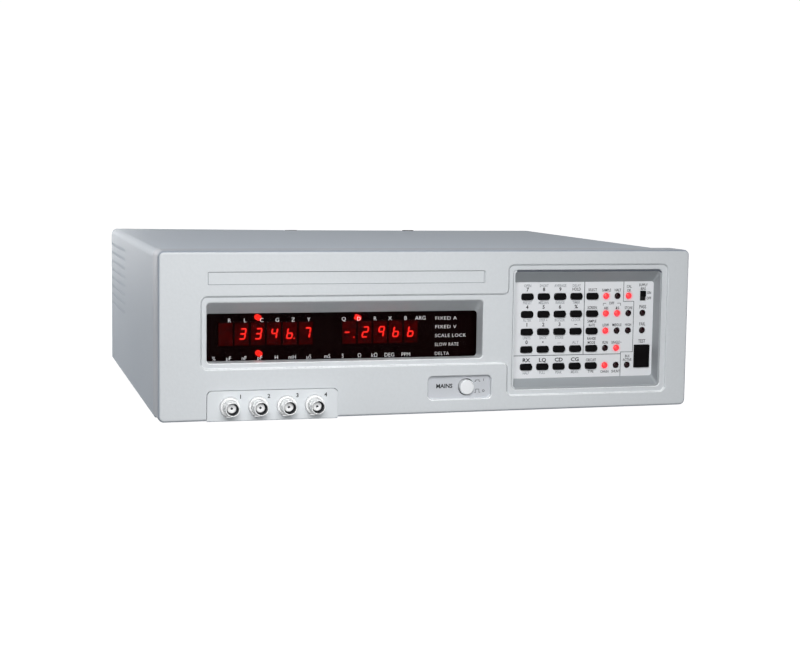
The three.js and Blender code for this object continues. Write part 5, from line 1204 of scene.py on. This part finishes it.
# %% Display lamps
LIT_DOTS = [(69.5, 46.0), (138.5, 47.0), (70.2, 70.4)]
LIT_RADIUS = 1.95
LIT_PROFILE = [(LIT_RADIUS, 7), (LIT_RADIUS, 0.6), (1.8, 0.2), (1.3, 0)]
DARK_PROFILE, DARK_BEHIND = [(1.5, 6.5), (1.5, 0.5), (1.1, 0)], 0.5
DOT_ROWS, DOTS_IN_ROW = (45.6, 69.4), 12


def is_lit(spot):
    """Whether a lit lamp takes the place of the dark one at a spot."""
    return any(math.dist(spot, lit_spot) <= 2 * LIT_RADIUS for lit_spot in LIT_DOTS)


lit_dots = copies(turned(Vector(), LIT_PROFILE, sides=32), [on_face(*spot, DIGIT_DEPTH) for spot in LIT_DOTS])
settled(joined(lit_dots), "display_lamps_lit", "digit_red")
all_spots = [(PACKAGE_START + number * PACKAGE_PITCH, down) for down in DOT_ROWS
             for number in range(DOTS_IN_ROW)]
dark_spots = [spot for spot in all_spots if not is_lit(spot)]
dark_dots = copies(turned(Vector(), DARK_PROFILE, sides=16),
                   [on_face(*spot, DIGIT_DEPTH + DARK_BEHIND) for spot in dark_spots])
settled(joined(dark_dots), "display_lamps_dark", "lamp_dark")
print("display lamps:", len(lit_dots), "lit,", len(dark_dots), "dark")

# %% [markdown]
# Print is a few hundredths of a millimetre of ink. Each word is a text object with the built-in font, laid
# on the surface, made a mesh and joined with its neighbours of the same ink. What stands here are plain
# numbers, unit signs and everyday words.

# %% Helpers for print
INK, INK_WEIGHT = 0.05, 0.03
CAPITAL_SHARE, LETTER_STEPS = 0.7, 2


def word(text, place, height, align="CENTER", width=1.0, weight=INK_WEIGHT, spacing=1.0):
    """A word standing on a front surface, its capitals' height in mm. Weight fattens its strokes, in mm."""
    bpy.ops.object.select_all(action="DESELECT")
    bpy.ops.object.text_add(location=place + Vector((0, -INK * MM, 0)), rotation=(math.pi / 2, 0, 0))
    written = bpy.context.object
    written.data.body = text
    written.data.size = height * MM / CAPITAL_SHARE
    written.data.align_x = align
    written.data.align_y = "CENTER"
    written.data.resolution_u = LETTER_STEPS
    written.data.extrude = INK / 2 * MM
    written.data.offset = weight * MM
    written.data.space_character = spacing
    written.scale = (width, 1, 1)
    bpy.ops.object.convert(target="MESH")
    return bpy.context.object


def printed(name, words, finish):
    """Joins words of one ink to a piece."""
    return settled(joined(words), name, finish)


print("print: helpers ready")

# %% [markdown]
# White letters are printed on the window: a letter or a unit at each lamp of the two rows, and a list at
# the right. They are finer than the font's own strokes, so their weight is less than nothing.

# %% Legends on the window
UPPER_LEGENDS = [(48.9, "R"), (59.3, "L"), (70.6, "C"), (81.2, "G"), (92.0, "Z"), (102.7, "Y"), (126.9, "Q"),
                 (137.4, "D"), (148.8, "R"), (159.3, "X"), (170.4, "B"), (181.0, "ARG")]
LOWER_LEGENDS = [(38.5, "%"), (48.4, "µF"), (58.8, "nF"), (69.5, "pF"), (80.7, "H"), (91.6, "mH"),
                 (102.9, "µS"), (115.7, "mS"), (126.4, "S"), (138.1, "Ω"), (148.6, "kΩ"),
                 (159.2, "DEG"), (170.9, "PPM")]
SIDE_LEGENDS = [(47.2, "FIXED A", 1.2), (53.1, "FIXED V", 1.2), (59.2, "SCALE LOCK", 1.08),
                (65.3, "SLOW RATE", 0.88), (71.6, "DELTA", 0.98)]
UPPER_DOWN, LOWER_DOWN, LOWER_SLOPE = 47.2, 72.7, 0.003
SIDE_ACROSS, SIDE_SHIFT, SIDE_SPACING = 191.4, 0.4, 1.1
WINDOW_DEPTH = 13.3
LEGEND_HEIGHT, LOWER_WIDTH, SIDE_HEIGHT, FINE = 2.7, 0.95, 2.35, -0.055

legends = [word(text, on_face(across, UPPER_DOWN, WINDOW_DEPTH), LEGEND_HEIGHT, weight=FINE)
           for across, text in UPPER_LEGENDS]
for across, text in LOWER_LEGENDS:
    place = on_face(across, LOWER_DOWN - across * LOWER_SLOPE, WINDOW_DEPTH)
    legends.append(word(text, place, LEGEND_HEIGHT, width=LOWER_WIDTH, weight=FINE))
for down, text, width in SIDE_LEGENDS:
    place = on_face(SIDE_ACROSS, down + SIDE_SHIFT, WINDOW_DEPTH)
    legends.append(word(text, place, SIDE_HEIGHT, "LEFT", width, FINE, SIDE_SPACING))
printed("window_legends", legends, "ink_white")
print("window legends:", len(legends))

# %% [markdown]
# Each key has a dark digit or word above it and pale captions for its second use. Words are placed by
# their key: row, column and how far above the key's middle they stand, or below it when less than nothing.

# %% Words at the keys
SMALL, PALE, LARGE, DIGITS, STATUS, LONG_WORD = 1.9, 1.95, 2.6, 2.5, 2.4, 2.2
NARROW, WIDE, BOLD = 0.74, 1.15, 0.09
DIGIT_RISE, UPPER_RISE, LOWER_RISE, WIDE_RISE, SIGN_RISE = 5.0, 7.6, -4.3, 4.66, 4.4
KEY_WORDS = {1: ["7", "8", "9", "HOLD"], 2: ["4", "5", "6", "%"], 3: ["1", "2", "3", "–"], 4: ["0", "•"]}
WIDE_WORDS = ["RX", "LQ", "CD", "CG"]
PALE_KEY_WORDS = [(4, 3, "—"), (4, 4, "ALT")]
UPPER_CAPTIONS = {1: ["OPEN", "SHORT", "AVERAGE", "DELAY"]}
LOWER_CAPTIONS = {1: ["PRESET", "MEDIAN", "RANGE", "TIMER"], 2: ["FILTER", "STEP +", "BUZZER", "CLOCK"],
                  3: ["UNITS", "BACK", "STORE"], 5: ["HALF", "FULL", "PEAK", "MEAN"]}
LAST_COLUMN = [(1, 4.4, "SELECT"), (2, 4.2, "SCREEN"), (3, 6.9, "SAMPLE"), (3, 4.05, "RATE"),
               (4, 6.9, "RANGE"), (4, 4.05, "MODE"), (5, 4.0, "CIRCUIT"), (5, -4.2, "TYPE")]


def at_key(row, column, rise):
    """A place on the panel, above a key's middle by a rise in mm."""
    middle = key_middle(row, column)
    return Vector((middle.x, PANEL_LOW.y, middle.z + rise * MM))


def caption(text, place, height=SMALL):
    """A narrow word on the panel."""
    return word(text, place, height, width=NARROW)


dark_words = []
for row, texts in KEY_WORDS.items():
    for column, text in enumerate(texts, 1):
        if len(text) == 1:
            dark_words.append(word(text, at_key(row, column, DIGIT_RISE), DIGITS, weight=BOLD))
        else:
            dark_words.append(caption(text, at_key(row, column, DIGIT_RISE), LONG_WORD))
dark_words += [word(text, at_key(5, column, WIDE_RISE), LARGE, width=WIDE, weight=BOLD)
               for column, text in enumerate(WIDE_WORDS, 1)]
dark_words += [caption(text, at_key(row, 5, rise)) for row, rise, text in LAST_COLUMN]
pale_words = [word(text, at_key(row, column, SIGN_RISE), PALE) for row, column, text in PALE_KEY_WORDS]
for rise, captions in ((UPPER_RISE, UPPER_CAPTIONS), (LOWER_RISE, LOWER_CAPTIONS)):
    for row, texts in captions.items():
        pale_words += [caption(text, at_key(row, column, rise), PALE) for column, text in enumerate(texts, 1)]
print("words at keys:", len(dark_words), "dark and", len(pale_words), "pale")

# %% [markdown]
# The lamps beside the keys have a word or two each, which say what is on when the lamp shines, and two of
# them share one more. All are placed by the lamp that they belong to.

# %% Words at the lamps
LAMP_WORDS = [(1, 1, 4.1, "SAMPLE"), (1, 2, 4.1, "HALT"), (1, 3, 6.6, "CAL"), (1, 3, 3.85, "OK"),
              (2, 1, 3.7, "ABS"), (2, 2, 3.7, "Δ%"), (2, 3, 3.7, "STORE"), (2, 1.5, 7.2, "DIFF"),
              (3, 1, 4.0, "LOW"), (3, 2, 4.0, "MIDDLE"), (3, 3, 4.0, "HIGH"), (4, 1, 3.9, "RUN"),
              (4, 2, 3.9, "SINGLE ▸"), (5, 1, -4.5, "CHAIN"), (5, 2, -4.5, "SHUNT"), (5, 3, 6.2, "BUS"),
              (5, 3, 3.6, "ACTIVE")]


def at_lamp(row, column, rise):
    """A place on the panel, above a lamp's middle by a rise in mm."""
    return lamp_middle(row, column) + Vector((0, 0, rise * MM))


dark_words += [caption(text, at_lamp(row, column, rise)) for row, column, rise, text in LAMP_WORDS]
print("words at lamps:", len(LAMP_WORDS))

# %% [markdown]
# The right-hand column holds the slide switch and its two places, two lamps for the result of a test, and
# the start key. Its words are placed by the row of keys that they stand beside.

# %% Words in the right-hand column
STATUS_WORDS = [(1, 7.6, 0, SMALL, "SUPPLY"), (1, 5.0, 0, SMALL, "BIAS"), (1, 2.0, 4.6, SMALL, "ON"),
                (1, -1.9, 4.6, SMALL, "OFF"), (2, 4.3, 0, STATUS, "PASS"), (3, 4.4, 0, STATUS, "FAIL"),
                (4, 4.4, 0, STATUS, "TEST")]


def at_status(row, rise, shift=0.0):
    """A place in the panel's right-hand column, by row, rise over its middle and sideways shift in mm."""
    return Vector((start_middle.x + shift * MM, PANEL_LOW.y, key_middle(row, 5).z + rise * MM))


for row, rise, shift, height, text in STATUS_WORDS:
    dark_words.append(caption(text, at_status(row, rise, shift), height))
printed("panel_words_dark", dark_words, "ink_dark")
printed("panel_words_pale", pale_words, "ink_pale")
print("panel print:", len(dark_words), "dark and", len(pale_words), "pale words")

# %% [markdown]
# Grey lines part the panel into fields. A line is printed like the words, but a hair-thin block along X or
# Z is simpler than text, and a path with corners is a few of them.

# %% Helper for lines
PANEL_MARGIN = 1


def ruled(points, width, surface_y):
    """A path of thin bars between points given as (x, z) in metres, each bar along one axis."""
    bars = []
    half = width * MM / 2
    for (x1, z1), (x2, z2) in zip(points, points[1:]):
        low = Vector((min(x1, x2) - half, surface_y - INK * MM, min(z1, z2) - half))
        high = Vector((max(x1, x2) + half, surface_y, max(z1, z2) + half))
        bars.append(block(low, high))
    return bars


panel_left = PANEL_LOW.x + PANEL_MARGIN * MM
panel_bottom, panel_top = PANEL_LOW.z + PANEL_MARGIN * MM, PANEL_HIGH.z - PANEL_MARGIN * MM
print("panel from", round(panel_bottom / MM), "to", round(panel_top / MM), "mm up")

# %% [markdown]
# One line runs under the keys, one between their last two columns, and one goes round the lamps in steps.
# Where they run follows from the keys and lamps that they pass between.

# %% Lines round the fields
KEY_LINE, LAMP_LINE = 0.5, 0.4
LAMP_3_LEFT, LAMP_3_LOWER_LEFT, STATUS_LEFT = 4.1, 5.2, 1.5
ROW_1_BELOW, ROW_4_BELOW, ROW_5_STEP = 3.9, 4.3, 1.3

between_columns = (key_middle(1, 4).x + key_middle(1, 5).x) / 2
lamp_3 = lamp_middle(1, 3).x
before_lamp_3 = lamp_3 - LAMP_3_LEFT * MM
before_lower_3 = lamp_3 - LAMP_3_LOWER_LEFT * MM
before_status = (lamp_3 + start_middle.x) / 2 - STATUS_LEFT * MM
below_row_1 = key_middle(1, 1).z - ROW_1_BELOW * MM
below_row_4 = key_middle(4, 1).z - ROW_4_BELOW * MM
above_row_5 = below_row_4 + ROW_5_STEP * MM
under_keys = [(panel_left, below_row_4), (before_lower_3, below_row_4)]
beside_keys = [(between_columns, panel_top), (between_columns, below_row_4)]
round_lamps = [(before_lamp_3, panel_top), (before_lamp_3, below_row_1), (before_status, below_row_1),
               (before_status, above_row_5), (before_lower_3, above_row_5), (before_lower_3, panel_bottom)]
field_lines = []
for path, width in ((under_keys, KEY_LINE), (beside_keys, KEY_LINE), (round_lamps, LAMP_LINE)):
    field_lines += ruled(path, width, PANEL_LOW.y)
settled(joined(field_lines), "panel_lines", "ink_grey")
print("panel lines:", len(field_lines))

# %% [markdown]
# A small dark bracket ties two lamps to the word between them: a short line over each lamp, with a foot at
# its outer end.

# %% Bracket over two lamps
BRACKET_LINE, BRACKET_RISE, BRACKET_FOOT = 0.3, 7.2, 1.6
BRACKET_SPANS = [(1, -2.2, -0.2, -2.2), (2, -0.2, 2.4, 2.4)]

bracket = []
for column, start, end, foot in BRACKET_SPANS:
    corner = at_lamp(2, column, BRACKET_RISE)
    span = [(corner.x + start * MM, corner.z), (corner.x + end * MM, corner.z)]
    foot_x = corner.x + foot * MM
    drop = [(foot_x, corner.z), (foot_x, corner.z - BRACKET_FOOT * MM)]
    bracket += ruled(span, BRACKET_LINE, PANEL_LOW.y) + ruled(drop, BRACKET_LINE, PANEL_LOW.y)
settled(joined(bracket), "panel_bracket", "ink_dark")
print("bracket:", len(bracket), "lines")

# %% [markdown]
# The name strip is an empty plate let into the face. What shows is the gap round it, as a fine grey line.

# %% Gap round the name strip
STRIP_LEFT, STRIP_RIGHT, STRIP_TOP, STRIP_BOTTOM, STRIP_DEPTH = 32.5, 222.5, 13.8, 22.4, 0.8
STRIP_GAP, STRIP_FREE = 0.45, 0.03

inset = STRIP_GAP / 2 + STRIP_FREE
left, right, top, bottom = STRIP_LEFT + inset, STRIP_RIGHT - inset, STRIP_TOP + inset, STRIP_BOTTOM - inset
corners = [on_face(across, down, STRIP_DEPTH) for across, down in (
    (left, bottom), (left, top), (right, top), (right, bottom), (left, bottom))]
gap = ruled([(corner.x, corner.z) for corner in corners], STRIP_GAP, corners[0].y)
settled(joined(gap), "strip_gap", "ink_pale")
print("name strip:", STRIP_RIGHT - STRIP_LEFT, "mm long")

# %% [markdown]
# In the button's recess stand a plain word and the usual signs for a switch that is in or out: a line and
# a ring, each beside a small plateau that stands for the button. The jacks have plain numbers.

# %% Print at the mains button and the jacks
RECESS_DEPTH, PLATE_OUT = 3.0, -1.0
MAINS_PLACE, MAINS_HEIGHT, MAINS_WEIGHT = (195.6, 93.3), 2.8, 0.12
SIGN_ACROSS, SIGN_HEIGHT, PLATEAU_ACROSS, PLATEAU_SUNK, PLATEAU_LINE = 223.9, 1.7, 219.5, 0.9, 0.3
SIGNS = [("I", 89.6, 1.0), ("O", 97.2, 2.2)]
JACK_NUMBERS = [(54, "1"), (73, "2"), (92.3, "3"), (111.6, "4")]
NUMBER_DOWN, NUMBER_HEIGHT = 96.3, 2.6


def push_sign(down, rise):
    """The sign for a button that is in or out: a plateau between two feet."""
    middle = on_face(PLATEAU_ACROSS, down, RECESS_DEPTH)
    low = middle.z - PLATEAU_SUNK * MM
    points = [(-2, 0), (-1.2, 0), (-1.2, rise), (1.2, rise), (1.2, 0), (2, 0)]
    return ruled([(middle.x + x * MM, low + z * MM) for x, z in points], PLATEAU_LINE, middle.y)


mains_words = [word("MAINS", on_face(*MAINS_PLACE, RECESS_DEPTH), MAINS_HEIGHT, weight=MAINS_WEIGHT)]
mains_words += [word(sign, on_face(SIGN_ACROSS, down, RECESS_DEPTH), SIGN_HEIGHT) for sign, down, _ in SIGNS]
for _, down, rise in SIGNS:
    mains_words += push_sign(down, rise)
printed("mains_print", mains_words, "ink_dark")
numbers = [word(text, on_face(across, NUMBER_DOWN, PLATE_OUT), NUMBER_HEIGHT, weight=BOLD)
           for across, text in JACK_NUMBERS]
printed("jack_numbers", numbers, "ink_dark")
print("print at the button:", len(mains_words), "at the jacks:", len(numbers))

# %% [markdown]
# Feet and bumpers are rubber, with the roundest edges of all. The fuse drawer, the voltage selector's
# slider and the folding leg ride on bodies of their own. All are copies with softened edges.

# %% Feet, bumpers, drawer, slider and leg
RUBBER_PIECES = ("front_left_foot", "front_right_foot", "rear_left_foot", "rear_right_foot",
                 "rear_left_bumper", "rear_right_bumper")
RUBBER_EDGE = 0.6
MOVING_PIECES = [
    ("fuse_drawer_body", "fuse_drawer", "black_plastic", 0.4),
    ("selector_tongue", "selector_slider", "black_plastic", 0.15),
    ("bail_wire", "tilt_bail", "bail_steel", 0.3),
]
for name in RUBBER_PIECES:
    settled(softened(name, RUBBER_EDGE), name + "_rubber", "foot_rubber", stands_for=[name])
for name, node, finish, edge in MOVING_PIECES:
    settled(softened(node, edge), name, finish, node, stands_for=[node])
print("rubber pieces:", len(RUBBER_PIECES), "moving ones:", len(MOVING_PIECES))

# %% [markdown]
# What is left of the frame keeps its shape: the parts inside, which only show through vents, and the red
# window. They get their finish directly.

# %% Finishes of the solids that stay
KEPT = {
    "display_window": "red_window", "power_switch": "switch_steel", "main_board": "circuit_board",
    "power_transformer": "transformer_iron", "heat_sink": "sink_aluminium",
    "display_ribbon": "ribbon_cable", "keypad_ribbon": "ribbon_cable",
}
for node, finish in KEPT.items():
    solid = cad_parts[node]
    solid.data.materials.clear()
    solid.data.materials.append(FINISHES[finish])
print("solids that stay:", len(KEPT))
